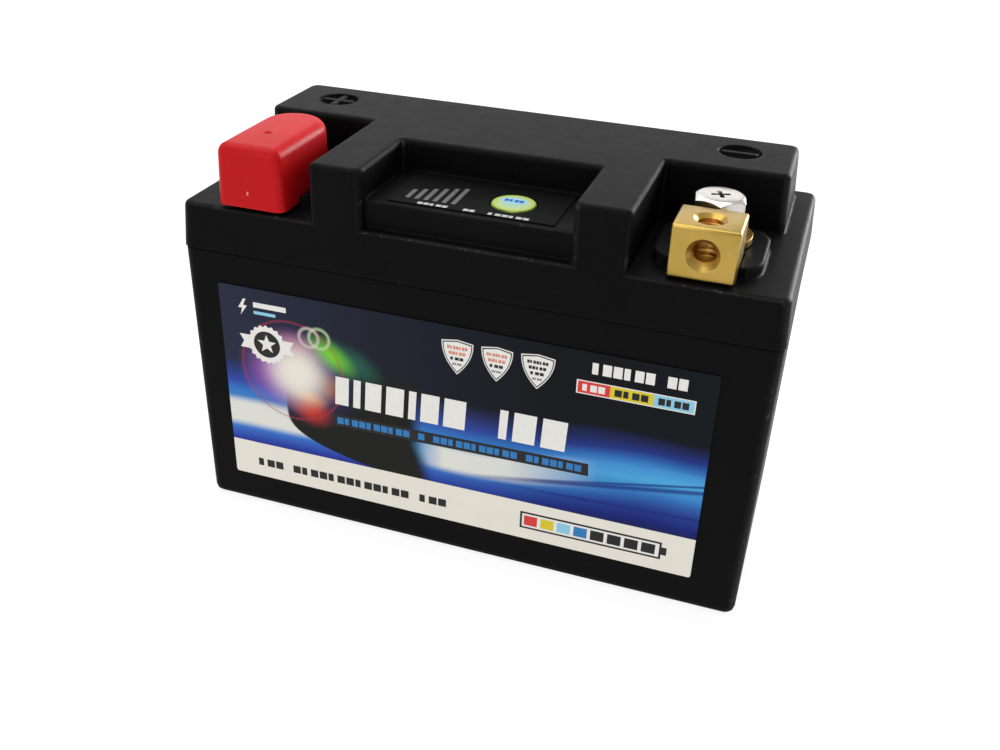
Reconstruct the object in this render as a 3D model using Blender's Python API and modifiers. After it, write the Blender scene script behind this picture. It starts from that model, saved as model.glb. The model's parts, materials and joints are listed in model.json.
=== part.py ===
"""A 12 V lithium motorcycle battery: case, terminals, state-of-charge display and everything inside.

The origin is the centre of the base. +X runs to the negative terminal, the label faces -Y, +Z is up.
"""

import math

import bmesh
import bpy
from mathutils import Matrix, Vector

# Case
CASE_LENGTH = 0.134
CASE_WIDTH = 0.065
CASE_HEIGHT = 0.092
PARTING_Z = 0.0684
SHOULDER_Z = 0.0788
WALL = 0.0025
GAP = 0.0003
BASE_INSET = 0.0004
RIM_INSET = 0.0002
SHOULDER_INSET = 0.00056
CORNER_RADIUS = 0.0024
CORNER_SEGMENTS = 5
BASE_ROUND = 0.0018
SHOULDER_ROUND = 0.0011
ROUND_SEGMENTS = 3
RING_CORNER_RADIUS = 0.0028

# Weld bead in the groove of the container's rim
BEAD_OFFSET = 0.0014
BEAD_WIDTH = 0.0005
BEAD_DEPTH = 0.0010
TONGUE_DEPTH = 0.003
TONGUE_WALL = 0.0012

# Raised part of the lid: a bar along the back with two fingers to the front
BAR_HALF_LENGTH = 0.0617
BAR_FRONT_Y = 0.0015
BAR_BACK_Y = 0.0301
BAR_BACK_TOP_Y = 0.0239
BAR_END_INSET = 0.0007
FINGER_INNER_X = 0.0228
FINGER_OUTER_X = 0.0345
FINGER_FRONT_Y = -0.0318
RECESS_BACK_Y = -0.0086
BAR_BACK_CORNER = 0.0022
BAR_FRONT_CORNER = 0.0018
INNER_CORNER = 0.0008
FINGER_OUTER_CORNER = 0.0010
FINGER_INNER_CORNER = 0.0020
EDGE_ROUND = 0.0009
DISPLAY_TOP_Z = 0.085
DISPLAY_FRONT_Y = -0.0292
DISPLAY_ROUND = 0.0010
SYMBOL_X = 0.0489
SYMBOL_Y = 0.0134
SYMBOL_RADIUS = 0.0048
SYMBOL_DEPTH = 0.0010
SYMBOL_BAR = 0.0013

# Terminals
TERMINAL_X = {"positive": -0.0490, "negative": 0.0485}
TERMINAL_Y = -0.0123
BOSS_HALF_LENGTH = 0.0111
BOSS_FRONT_Y = -0.0258
BOSS_BACK_Y = -0.0036
BOSS_TOP_Z = 0.0813
BOSS_CORNER = 0.006
BLOCK_WIDTH = 0.0134
BLOCK_FRONT_Y = -0.0301
BLOCK_BACK_Y = -0.0184
BLOCK_BOTTOM_Z = 0.0791
BLOCK_TOP_Z = 0.0902
BLOCK_ROUND = 0.0004
TONGUE_BOTTOM_Z = 0.0833
TONGUE_TOP_Z = 0.0850
THREAD_DRILL_RADIUS = 0.0025
THREAD_MOUTH_RADIUS = 0.0034
FRONT_HOLE_Z = 0.0846
TOP_HOLE_Y = -0.0245
FLANGE_RADIUS = 0.0076
FLANGE_BOTTOM_Z = 0.0816
FLANGE_TOP_Z = 0.0830
INSERT_RADIUS = 0.0046
INSERT_BOTTOM_Z = 0.0715
INSERT_HOLE_RADIUS = 0.0031
INSERT_HOLE_BOTTOM_Z = 0.0735
ROUND_STEPS = 32
SHANK_STEPS = 24
PLUNGER_STEPS = 20
FINE_STEPS = 12

# Terminal bolt, M6
BOLT_RADIUS = 0.00285
BOLT_END_Z = 0.0745
BOLT_HEAD_BOTTOM_Z = 0.0877
BOLT_HEAD_TOP_Z = 0.0910
BOLT_FLATS = 0.010
BOLT_CHAMFER = 0.0007
CROSS_LENGTH = 0.0042
CROSS_WIDTH = 0.0009
CROSS_DEPTH = 0.0016
CLEARANCE_RADIUS = 0.0032
WASHER_RADIUS = 0.0057
WASHER_BOTTOM_Z = 0.0853
WASHER_TOP_Z = 0.0861
SPRING_WASHER_RADIUS = 0.0052
SPRING_WASHER_BOTTOM_Z = 0.0864
SPRING_WASHER_TOP_Z = 0.0874
SPRING_WASHER_SLIT = 0.0008

# Red cap over the positive terminal
CAP_FRONT_Y = -0.0318
CAP_ROUND_Y = -0.0108
CAP_TOP_HALF_WIDTH = 0.0075
CAP_BOTTOM_HALF_WIDTH = 0.0081
CAP_BOTTOM_Z = 0.0797
CAP_TOP_Z = 0.0935
CAP_WALL = 0.00065
CAP_ROOF = 0.0011
CAP_EDGE_ROUND = 0.0019
CAP_FRONT_CORNER = 0.0018
CAP_ARCH_Z = 0.0817
CAP_ARCH_Y = -0.0184
CAP_FLANGE_NOTCH_Y = -0.0153
CAP_DIMPLE_RADIUS = 0.0009
CAP_DIMPLE_X = -0.0495
CAP_DIMPLE_Y = -0.0211

# Display
BUTTON_X = 0.0072
BUTTON_Y = -0.0201
BUTTON_RADIUS = 0.0049
BUTTON_BOTTOM_Z = 0.0847
BUTTON_TOP_Z = 0.0855
BUTTON_STEM_RADIUS = 0.0019
BUTTON_STEM_BOTTOM_Z = 0.0819
BUTTON_CLEARANCE = 0.0003
BUTTON_WELL_Z = 0.0841
OVERLAY_HALF_LENGTH = 0.0183
OVERLAY_FRONT_Y = -0.0281
OVERLAY_BACK_Y = -0.0105
OVERLAY_THICKNESS = 0.0002
OVERLAY_LIFT = 0.0001
WINDOW_LEFT_X = -0.0162
WINDOW_RIGHT_X = -0.0031
WINDOW_FRONT_Y = -0.0258
WINDOW_BACK_Y = -0.0146
BAR_COUNT = 6
FIRST_BAR_X = -0.0148
BAR_PITCH = 0.00205
LED_SIZE = (0.0013, 0.0030, 0.0010)
LED_Y = -0.0222

# Boards
BOARD_THICKNESS = 0.0012
DISPLAY_BOARD_HALF_LENGTH = 0.0188
DISPLAY_BOARD_FRONT_Y = -0.0254
DISPLAY_BOARD_BACK_Y = -0.0120
DISPLAY_BOARD_Z = 0.0768
SWITCH_SIDE = 0.0062
SWITCH_BOTTOM_Z = 0.0783
SWITCH_TOP_Z = 0.0810
SWITCH_WELL_Z = 0.0787
PLUNGER_RADIUS = 0.0016
PLUNGER_BOTTOM_Z = 0.0793
PLUNGER_TOP_Z = 0.0816
BMS_HALF_LENGTH = 0.056
BMS_FRONT_Y = 0.0056
BMS_BACK_Y = 0.0246
BMS_Z = 0.0797
MOSFET_SIZE = (0.0066, 0.0095, 0.0023)
MOSFET_COUNT = 4
MOSFET_FIRST_X = -0.034
MOSFET_PITCH = 0.010
MOSFET_Y = 0.0155
CONTROLLER_SIZE = (0.009, 0.009, 0.0014)
CONTROLLER_X = 0.014
CONNECTOR_SIZE = (0.0135, 0.006, 0.0055)
CONNECTOR_X = 0.033
CONNECTOR_WALL = 0.0010

# Cells and what holds them
CELL_COUNT = 4
CELL_PITCH = 0.014
CELL_LENGTH = 0.112
CELL_THICKNESS = 0.011
CELL_BOTTOM_Z = 0.0056
CELL_TOP_Z = 0.0636
CELL_ROUND = 0.0022
PAD_LENGTH = 0.106
PAD_THICKNESS = 0.0024
SIDE_PAD_THICKNESS = 0.0026
BASE_PAD_THICKNESS = 0.0025
TAB_X = 0.038
TAB_WIDTH = 0.012
TAB_THICKNESS = 0.0004
TAB_BOTTOM_Z = 0.0639
TAB_TOP_Z = 0.0700
TAB_BOARD_HALF_LENGTH = 0.050
TAB_BOARD_HALF_WIDTH = 0.0265
TAB_BOARD_Z = 0.0666
TAB_BOARD_THICKNESS = 0.0016
TAB_SLOT_CLEARANCE = 0.0004
LINK_WIDTH = 0.010
LINK_THICKNESS = 0.0010
LINK_Z = 0.0686
STRAP_THICKNESS = 0.0009
STRAP_Z = 0.0703
STRAP_WIDTH = 0.011
CABLE_WIDTH = 0.008
CABLE_THICKNESS = 0.0004
CABLE_Z = 0.0745
CABLE_FRONT_Y = -0.016
CABLE_BACK_Y = 0.010

# Labels
LABEL_THICKNESS = 0.00015
LABEL_LIFT = 0.0001
LABEL_CORNER = 0.0006
FRONT_LABEL_LEFT_X = -0.0585
FRONT_LABEL_RIGHT_X = 0.0558
FRONT_LABEL_BOTTOM_Z = 0.0086
FRONT_LABEL_TOP_Z = 0.0607
REAR_LABEL_HALF_LENGTH = 0.052
REAR_LABEL_BOTTOM_Z = 0.010
REAR_LABEL_TOP_Z = 0.058

SHARP_ANGLE = math.radians(30)


# ---------------------------------------------------------------- scene and collections


def clear_scene():
    for obj in list(bpy.data.objects):
        bpy.data.objects.remove(obj)


def new_collection(name, hidden=False):
    collection = bpy.data.collections.new(name)
    collection.hide_render = hidden
    bpy.context.scene.collection.children.link(collection)
    return collection


clear_scene()
PARTS = new_collection("motorcycle_battery")
CUTTERS = new_collection("cutters", hidden=True)


# ---------------------------------------------------------------- materials


def material(name, colour, roughness, metallic=0.0):
    made = bpy.data.materials.new(name)
    made.use_nodes = True
    shader = made.node_tree.nodes["Principled BSDF"]
    shader.inputs["Base Color"].default_value = (*colour, 1.0)
    shader.inputs["Roughness"].default_value = roughness
    shader.inputs["Metallic"].default_value = metallic
    made.diffuse_color = (*colour, 1.0)
    return made


CASE_BLACK = material("case_black", (0.012, 0.013, 0.015), 0.55)
CAP_RED = material("cap_red", (0.62, 0.015, 0.02), 0.4)
BRASS = material("brass", (0.72, 0.48, 0.17), 0.25, 1.0)
ZINC = material("zinc_plate", (0.78, 0.78, 0.76), 0.22, 1.0)
COPPER = material("copper", (0.72, 0.34, 0.2), 0.3, 1.0)
ALUMINIUM = material("cell_aluminium", (0.72, 0.73, 0.75), 0.35, 0.9)
NICKEL = material("tab_nickel", (0.66, 0.64, 0.6), 0.3, 1.0)
LABEL_PRINT = material("label_print", (0.01, 0.04, 0.12), 0.35)
REAR_PRINT = material("rear_print", (0.6, 0.6, 0.58), 0.45)
OVERLAY_BLACK = material("overlay_black", (0.02, 0.02, 0.022), 0.3)
BUTTON_GREEN = material("button_green", (0.45, 0.62, 0.1), 0.4)
FOAM = material("foam_grey", (0.08, 0.08, 0.085), 0.95)
BOARD_GREEN = material("board_green", (0.02, 0.16, 0.07), 0.45)
CHIP_BLACK = material("chip_black", (0.015, 0.015, 0.015), 0.5)
CONNECTOR_WHITE = material("connector_white", (0.75, 0.73, 0.66), 0.5)
LED_CLEAR = material("led_lens", (0.75, 0.8, 0.7), 0.2)
CABLE_GREY = material("cable_grey", (0.35, 0.35, 0.37), 0.5)
BEAD_BLACK = material("bead_black", (0.02, 0.02, 0.02), 0.6)


# ---------------------------------------------------------------- shared shapes


def add_object(name, mesh, collection=PARTS, surface=None):
    obj = bpy.data.objects.new(name, mesh)
    collection.objects.link(obj)
    if surface:
        mesh.materials.append(surface)
    if collection is CUTTERS:
        obj.hide_render = True
        obj.display_type = "WIRE"
    return obj


def from_bmesh(name, bm, collection=PARTS, surface=None):
    mesh = bpy.data.meshes.new(name)
    bm.to_mesh(mesh)
    bm.free()
    return add_object(name, mesh, collection, surface)


def block_bmesh(low, high):
    """A box between two opposite corners."""
    low, high = Vector(low), Vector(high)
    bm = bmesh.new()
    bmesh.ops.create_cube(bm, size=1.0)
    bmesh.ops.scale(bm, vec=high - low, verts=bm.verts)
    bmesh.ops.translate(bm, vec=(low + high) / 2, verts=bm.verts)
    return bm


def round_upright_edges(bm, radius, segments):
    upright = [
        edge
        for edge in bm.edges
        if abs(edge.verts[0].co.z - edge.verts[1].co.z) > GAP
        and (edge.verts[0].co.xy - edge.verts[1].co.xy).length < GAP
    ]
    bmesh.ops.bevel(bm, geom=upright, offset=radius, segments=segments, profile=0.5, affect="EDGES")


def round_level_edges(bm, z, radius, segments):
    """Rounds the loop of outer edges that lie at one height."""
    level = [edge for edge in bm.edges if all(abs(vert.co.z - z) < GAP / 10 for vert in edge.verts)]
    bmesh.ops.bevel(bm, geom=level, offset=radius, segments=segments, profile=0.5, affect="EDGES")


def pull_in(bm, z, inset):
    """Draws the vertices at one height towards the Z axis by the same inset on each side."""
    for vert in bm.verts:
        if abs(vert.co.z - z) < GAP / 10:
            vert.co.x -= math.copysign(inset, vert.co.x)
            vert.co.y -= math.copysign(inset, vert.co.y)


def box(name, low, high, collection=PARTS, surface=None):
    return from_bmesh(name, block_bmesh(low, high), collection, surface)


def rounded_box(name, low, high, radius, segments, collection=PARTS, surface=None):
    """A box with rounded upright edges."""
    bm = block_bmesh(low, high)
    round_upright_edges(bm, radius, segments)
    return from_bmesh(name, bm, collection, surface)


def cylinder(name, x, y, bottom, top, radius, steps=ROUND_STEPS, collection=CUTTERS, surface=None):
    bm = bmesh.new()
    bmesh.ops.create_cone(
        bm, cap_ends=True, segments=steps, radius1=radius, radius2=radius, depth=top - bottom
    )
    bmesh.ops.translate(bm, vec=(x, y, (top + bottom) / 2), verts=bm.verts)
    return from_bmesh(name, bm, collection, surface)


def turned(name, profile, x, y, collection=PARTS, surface=None, steps=ROUND_STEPS, closed=False):
    """A shape turned about an upright axis from (radius, height) points, top to bottom on the outside."""
    bm = bmesh.new()
    verts = [bm.verts.new((radius, 0.0, z)) for radius, z in profile]
    pairs = list(zip(verts, verts[1:]))
    if closed:
        pairs.append((verts[-1], verts[0]))
    for first, second in pairs:
        bm.edges.new((first, second))
    mesh = bpy.data.meshes.new(name)
    bm.to_mesh(mesh)
    bm.free()
    obj = add_object(name, mesh, collection, surface)
    obj.location = (x, y, 0.0)
    screw = obj.modifiers.new("turn", "SCREW")
    screw.steps = steps
    screw.render_steps = steps
    screw.use_merge_vertices = True
    screw.merge_threshold = 0.00001
    return obj


def combine(obj, other, operation):
    boolean = obj.modifiers.new(f"{operation.lower()}_{other.name}", "BOOLEAN")
    boolean.operation = operation
    boolean.object = other
    boolean.solver = "EXACT"
    return obj


def cut(obj, *cutters):
    for cutter in cutters:
        combine(obj, cutter, "DIFFERENCE")
    return obj


def join(obj, *others):
    for other in others:
        combine(obj, other, "UNION")
    return obj


def apply_modifiers(obj):
    """Replaces the object's mesh with its evaluated one, so that later edits see the real shape."""
    bpy.context.view_layer.update()
    graph = bpy.context.evaluated_depsgraph_get()
    mesh = bpy.data.meshes.new_from_object(obj.evaluated_get(graph))
    obj.modifiers.clear()
    obj.data = mesh
    return obj


def shade_round(obj):
    apply_modifiers(obj)
    obj.data.shade_smooth()
    obj.data.set_sharp_from_angle(angle=SHARP_ANGLE)
    return obj


def arc_corner(before, corner, after, radius, segments):
    """Points of the round that replaces one corner of an outline."""
    back = (Vector(before) - Vector(corner)).normalized()
    ahead = (Vector(after) - Vector(corner)).normalized()
    half = back.angle(ahead) / 2
    reach = radius / math.tan(half)
    start = Vector(corner) + back * reach
    end = Vector(corner) + ahead * reach
    middle = Vector(corner) + (back + ahead).normalized() * radius / math.sin(half)
    points = []
    for step in range(segments + 1):
        share = step / segments
        chord = start.lerp(end, share) - middle
        points.append(middle + chord.normalized() * radius)
    return points


def round_outline(corners, radii, segments):
    points = []
    for index, corner in enumerate(corners):
        radius = radii[index]
        if radius <= 0.0:
            points.append(Vector(corner))
            continue
        before = corners[index - 1]
        after = corners[(index + 1) % len(corners)]
        points.extend(arc_corner(before, corner, after, radius, segments))
    return points


def extruded_outline(name, points, bottom, top, collection=CUTTERS, surface=None):
    """A flat outline raised between two heights, as one welded mesh."""
    curve = bpy.data.curves.new(name, "CURVE")
    curve.dimensions = "2D"
    curve.fill_mode = "BOTH"
    curve.extrude = (top - bottom) / 2
    spline = curve.splines.new("POLY")
    spline.points.add(len(points) - 1)
    for target, point in zip(spline.points, points):
        target.co = (point.x, point.y, 0.0, 1.0)
    spline.use_cyclic_u = True
    outline = bpy.data.objects.new(f"{name}_outline", curve)
    outline.location.z = (top + bottom) / 2
    bpy.context.scene.collection.objects.link(outline)
    bpy.context.view_layer.update()
    graph = bpy.context.evaluated_depsgraph_get()
    mesh = bpy.data.meshes.new_from_object(outline.evaluated_get(graph))
    mesh.transform(outline.matrix_world)
    bpy.data.objects.remove(outline)
    bm = bmesh.new()
    bm.from_mesh(mesh)
    bpy.data.meshes.remove(mesh)
    bmesh.ops.remove_doubles(bm, verts=bm.verts, dist=0.000001)
    bmesh.ops.dissolve_limit(bm, angle_limit=math.radians(0.5), verts=bm.verts, edges=bm.edges)
    bmesh.ops.recalc_face_normals(bm, faces=bm.faces)
    return from_bmesh(name, bm, collection, surface)


# ---------------------------------------------------------------- container, bead and lid


def make_container():
    half = Vector((CASE_LENGTH / 2 - RIM_INSET, CASE_WIDTH / 2 - RIM_INSET))
    top = PARTING_Z - GAP
    bm = block_bmesh((-half.x, -half.y, 0.0), (half.x, half.y, top))
    round_upright_edges(bm, CORNER_RADIUS, CORNER_SEGMENTS)
    pull_in(bm, 0.0, BASE_INSET)
    round_level_edges(bm, 0.0, BASE_ROUND, ROUND_SEGMENTS)
    container = from_bmesh("container", bm, surface=CASE_BLACK)
    inner = (half.x - WALL, half.y - WALL)
    cavity = rounded_box(
        "container_cavity",
        (-inner[0], -inner[1], WALL),
        (inner[0], inner[1], top + WALL),
        CORNER_RADIUS / 2,
        ROUND_SEGMENTS,
        CUTTERS,
    )
    groove_outer = (half.x - BEAD_OFFSET + BEAD_WIDTH, half.y - BEAD_OFFSET + BEAD_WIDTH)
    groove = rounded_ring(
        "bead_groove", groove_outer, BEAD_WIDTH * 2, top - BEAD_DEPTH, top + WALL, CUTTERS
    )
    cut(container, cavity, groove)
    return shade_round(container)


def rounded_ring(name, outer, width, bottom, top, collection=PARTS, surface=None):
    """A rounded rectangular ring: outer half sizes, wall width and two heights."""
    ring = rounded_box(
        name,
        (-outer[0], -outer[1], bottom),
        (outer[0], outer[1], top),
        RING_CORNER_RADIUS,
        CORNER_SEGMENTS,
        collection,
        surface,
    )
    inside = rounded_box(
        f"{name}_inside",
        (-outer[0] + width, -outer[1] + width, bottom - WALL),
        (outer[0] - width, outer[1] - width, top + WALL),
        RING_CORNER_RADIUS - width,
        CORNER_SEGMENTS,
        CUTTERS,
    )
    cut(ring, inside)
    return apply_modifiers(ring)


def make_weld_bead():
    reach = BEAD_OFFSET - BEAD_WIDTH / 2
    outer = (CASE_LENGTH / 2 - RIM_INSET - reach, CASE_WIDTH / 2 - RIM_INSET - reach)
    top = PARTING_Z - GAP
    return rounded_ring(
        "lid_weld_bead", outer, BEAD_WIDTH, top - BEAD_DEPTH + GAP / 2, top, PARTS, BEAD_BLACK
    )


def platform_corners():
    """The outline of the raised part at the shoulder."""
    return [
        (-BAR_HALF_LENGTH, BAR_BACK_Y),
        (-BAR_HALF_LENGTH, BAR_FRONT_Y),
        (-FINGER_OUTER_X, BAR_FRONT_Y),
        (-FINGER_OUTER_X, FINGER_FRONT_Y),
        (-FINGER_INNER_X, FINGER_FRONT_Y),
        (-FINGER_INNER_X, RECESS_BACK_Y),
        (FINGER_INNER_X, RECESS_BACK_Y),
        (FINGER_INNER_X, FINGER_FRONT_Y),
        (FINGER_OUTER_X, FINGER_FRONT_Y),
        (FINGER_OUTER_X, BAR_FRONT_Y),
        (BAR_HALF_LENGTH, BAR_FRONT_Y),
        (BAR_HALF_LENGTH, BAR_BACK_Y),
    ]


def lean_in(verts, back_y):
    """Leans the back wall forward and the end walls inward above the shoulder."""
    back_lean = (BAR_BACK_Y - BAR_BACK_TOP_Y) / (CASE_HEIGHT - SHOULDER_Z)
    end_lean = BAR_END_INSET / (CASE_HEIGHT - SHOULDER_Z)
    for vert in verts:
        rise = max(vert.co.z - SHOULDER_Z, 0.0)
        if vert.co.y > back_y:
            vert.co.y -= back_lean * rise
        if abs(vert.co.x) > FINGER_OUTER_X + WALL:
            vert.co.x -= math.copysign(end_lean * rise, vert.co.x)


def platform():
    """The raised part as a solid block with a leaning back and rounded upper edges."""
    half = [
        BAR_BACK_CORNER,
        BAR_FRONT_CORNER,
        INNER_CORNER,
        FINGER_OUTER_CORNER,
        FINGER_INNER_CORNER,
        INNER_CORNER,
    ]
    points = round_outline(platform_corners(), half + half[::-1], ROUND_SEGMENTS + 1)
    shape = extruded_outline("platform", points, SHOULDER_Z - WALL / 2, CASE_HEIGHT)
    lean_in(shape.data.vertices, BAR_BACK_TOP_Y)
    bm = bmesh.new()
    bm.from_mesh(shape.data)
    round_level_edges(bm, CASE_HEIGHT, EDGE_ROUND, 2)
    bm.to_mesh(shape.data)
    bm.free()
    return shape


def platform_rooms():
    """The hollow under the raised part: behind the recess, along the bar and up both fingers."""
    top = CASE_HEIGHT - WALL
    bar = block_bmesh(
        (-BAR_HALF_LENGTH + WALL, BAR_FRONT_Y + WALL, PARTING_Z),
        (BAR_HALF_LENGTH - WALL, BAR_BACK_Y - WALL, top),
    )
    lean_in(bar.verts, BAR_BACK_TOP_Y)
    rooms = [from_bmesh("bar_room", bar, CUTTERS)]
    reach = FINGER_OUTER_X - WALL
    rooms.append(
        box(
            "middle_room",
            (-reach, RECESS_BACK_Y + WALL, PARTING_Z),
            (reach, BAR_FRONT_Y + WALL * 2, top),
            CUTTERS,
        )
    )
    for side in (-1, 1):
        near, far = sorted((side * (FINGER_INNER_X + WALL), side * reach))
        rooms.append(
            box(
                f"finger_room_{side}",
                (near, FINGER_FRONT_Y + WALL, PARTING_Z),
                (far, RECESS_BACK_Y + WALL * 2, top),
                CUTTERS,
            )
        )
    return rooms


def lid_base():
    half = (CASE_LENGTH / 2, CASE_WIDTH / 2)
    bm = block_bmesh((-half[0], -half[1], PARTING_Z), (half[0], half[1], SHOULDER_Z))
    round_upright_edges(bm, CORNER_RADIUS, CORNER_SEGMENTS)
    pull_in(bm, SHOULDER_Z, SHOULDER_INSET)
    round_level_edges(bm, SHOULDER_Z, SHOULDER_ROUND, ROUND_SEGMENTS)
    return from_bmesh("lid", bm, surface=CASE_BLACK)


def display_block():
    low = (-FINGER_INNER_X - WALL / 2, DISPLAY_FRONT_Y, SHOULDER_Z - WALL / 2)
    high = (FINGER_INNER_X + WALL / 2, RECESS_BACK_Y + WALL / 2, DISPLAY_TOP_Z)
    bm = block_bmesh(low, high)
    front_top = [
        edge
        for edge in bm.edges
        if all(v.co.z > SHOULDER_Z and v.co.y < DISPLAY_FRONT_Y + GAP for v in edge.verts)
    ]
    bmesh.ops.bevel(
        bm, geom=front_top, offset=DISPLAY_ROUND, segments=ROUND_SEGMENTS, profile=0.5, affect="EDGES"
    )
    return from_bmesh("display_block", bm, CUTTERS)


def terminal_boss(polarity):
    centre = TERMINAL_X[polarity]
    boss = rounded_box(
        f"{polarity}_boss",
        (centre - BOSS_HALF_LENGTH, BOSS_FRONT_Y, SHOULDER_Z - WALL / 2),
        (centre + BOSS_HALF_LENGTH, BOSS_BACK_Y, BOSS_TOP_Z),
        BOSS_CORNER,
        6,
        CUTTERS,
    )
    return boss


def boss_notch(polarity):
    """The notch in a boss for the terminal block and, on the positive side, for its cap's skirt."""
    half_widths = {"positive": CAP_BOTTOM_HALF_WIDTH, "negative": BLOCK_WIDTH / 2}
    reach = half_widths[polarity] + GAP
    centre = TERMINAL_X[polarity]
    return box(
        f"{polarity}_boss_notch",
        (centre - reach, BOSS_FRONT_Y - WALL, SHOULDER_Z),
        (centre + reach, BLOCK_BACK_Y + GAP, BOSS_TOP_Z + WALL),
        CUTTERS,
    )


def symbol_well(side):
    return cylinder(
        f"symbol_well_{side}",
        side * SYMBOL_X,
        SYMBOL_Y,
        CASE_HEIGHT - SYMBOL_DEPTH,
        CASE_HEIGHT + WALL,
        SYMBOL_RADIUS,
    )


def symbol_bar(name, x, length, width):
    """One raised bar of a polarity sign, standing in its round well."""
    return box(
        name,
        (x - length / 2, SYMBOL_Y - width / 2, CASE_HEIGHT - SYMBOL_DEPTH - GAP),
        (x + length / 2, SYMBOL_Y + width / 2, CASE_HEIGHT - GAP / 2),
        CUTTERS,
    )


def make_lid():
    lid = lid_base()
    join(lid, platform())
    join(lid, display_block())
    for polarity, side in (("positive", -1), ("negative", 1)):
        join(lid, terminal_boss(polarity))
        cut(lid, boss_notch(polarity), symbol_well(side))
    bar_length = SYMBOL_RADIUS * 1.65
    join(lid, symbol_bar("plus_bar_x", -SYMBOL_X, bar_length, SYMBOL_BAR))
    join(lid, symbol_bar("plus_bar_y", -SYMBOL_X, SYMBOL_BAR, bar_length))
    join(lid, symbol_bar("minus_bar", SYMBOL_X, bar_length, SYMBOL_BAR))
    cut_lid_hollow(lid)
    cut_lid_openings(lid)
    join(lid, lid_tongue())
    return shade_round(lid)


def cut_lid_hollow(lid):
    inner = (CASE_LENGTH / 2 - WALL - RIM_INSET, CASE_WIDTH / 2 - WALL - RIM_INSET)
    room = rounded_box(
        "lid_room",
        (-inner[0], -inner[1], PARTING_Z - WALL),
        (inner[0], inner[1], SHOULDER_Z - WALL),
        CORNER_RADIUS / 2,
        ROUND_SEGMENTS,
        CUTTERS,
    )
    display_room = box(
        "display_room",
        (-FINGER_INNER_X + WALL, DISPLAY_FRONT_Y + WALL, PARTING_Z),
        (FINGER_INNER_X - WALL, RECESS_BACK_Y - WALL / 2, DISPLAY_TOP_Z - WALL),
        CUTTERS,
    )
    cut(lid, room, *platform_rooms(), display_room)


def cut_lid_openings(lid):
    for polarity, x in TERMINAL_X.items():
        hole = cylinder(
            f"{polarity}_insert_hole",
            x,
            TERMINAL_Y,
            PARTING_Z,
            CASE_HEIGHT,
            INSERT_RADIUS + GAP,
        )
        cut(lid, hole)
    well = cylinder(
        "button_well",
        BUTTON_X,
        BUTTON_Y,
        BUTTON_WELL_Z,
        CASE_HEIGHT,
        BUTTON_RADIUS + BUTTON_CLEARANCE,
    )
    stem_hole = cylinder(
        "button_stem_hole",
        BUTTON_X,
        BUTTON_Y,
        PARTING_Z,
        CASE_HEIGHT,
        BUTTON_STEM_RADIUS + BUTTON_CLEARANCE,
        ROUND_STEPS // 2,
    )
    window = box(
        "display_window",
        (WINDOW_LEFT_X, WINDOW_FRONT_Y, PARTING_Z),
        (WINDOW_RIGHT_X, WINDOW_BACK_Y, CASE_HEIGHT),
        CUTTERS,
    )
    cut(lid, well, stem_hole, window)


def lid_tongue():
    """The thin wall that reaches down into the container all the way round."""
    reach = WALL + RIM_INSET + GAP
    outer = (CASE_LENGTH / 2 - reach, CASE_WIDTH / 2 - reach)
    return rounded_ring(
        "lid_tongue", outer, TONGUE_WALL, PARTING_Z - TONGUE_DEPTH, SHOULDER_Z - WALL / 2, CUTTERS
    )


# ---------------------------------------------------------------- labels


def make_label(name, turn, left, right, bottom, top, surface):
    """A thin rounded sheet on the rear wall, following its draft, then turned about the Z axis."""
    bm = block_bmesh((left, 0.0, bottom), (right, LABEL_THICKNESS, top))
    across = [
        edge
        for edge in bm.edges
        if abs(edge.verts[0].co.y - edge.verts[1].co.y) > LABEL_THICKNESS / 2
    ]
    bmesh.ops.bevel(bm, geom=across, offset=LABEL_CORNER, segments=3, profile=0.5, affect="EDGES")
    wall_y = CASE_WIDTH / 2 - RIM_INSET
    draft = BASE_INSET / (PARTING_Z - GAP)
    for vert in bm.verts:
        vert.co.y += wall_y - draft * (PARTING_Z - GAP - vert.co.z) + LABEL_LIFT
    bmesh.ops.rotate(bm, matrix=Matrix.Rotation(turn, 3, "Z"), verts=bm.verts)
    return from_bmesh(name, bm, surface=surface)


def make_labels():
    make_label(
        "front_label",
        math.pi,
        -FRONT_LABEL_RIGHT_X,
        -FRONT_LABEL_LEFT_X,
        FRONT_LABEL_BOTTOM_Z,
        FRONT_LABEL_TOP_Z,
        LABEL_PRINT,
    )
    make_label(
        "rear_label",
        0.0,
        -REAR_LABEL_HALF_LENGTH,
        REAR_LABEL_HALF_LENGTH,
        REAR_LABEL_BOTTOM_Z,
        REAR_LABEL_TOP_Z,
        REAR_PRINT,
    )


# ---------------------------------------------------------------- terminals


def threaded_hole(name, depth):
    """A drill with a wide mouth, pointing down from its origin."""
    step = THREAD_MOUTH_RADIUS - THREAD_DRILL_RADIUS
    profile = [
        (0.0, WALL),
        (THREAD_MOUTH_RADIUS + WALL, WALL),
        (THREAD_DRILL_RADIUS, -step),
        (THREAD_DRILL_RADIUS, -depth),
        (0.0, -depth - step),
    ]
    return turned(name, profile, 0.0, 0.0, CUTTERS)


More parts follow.
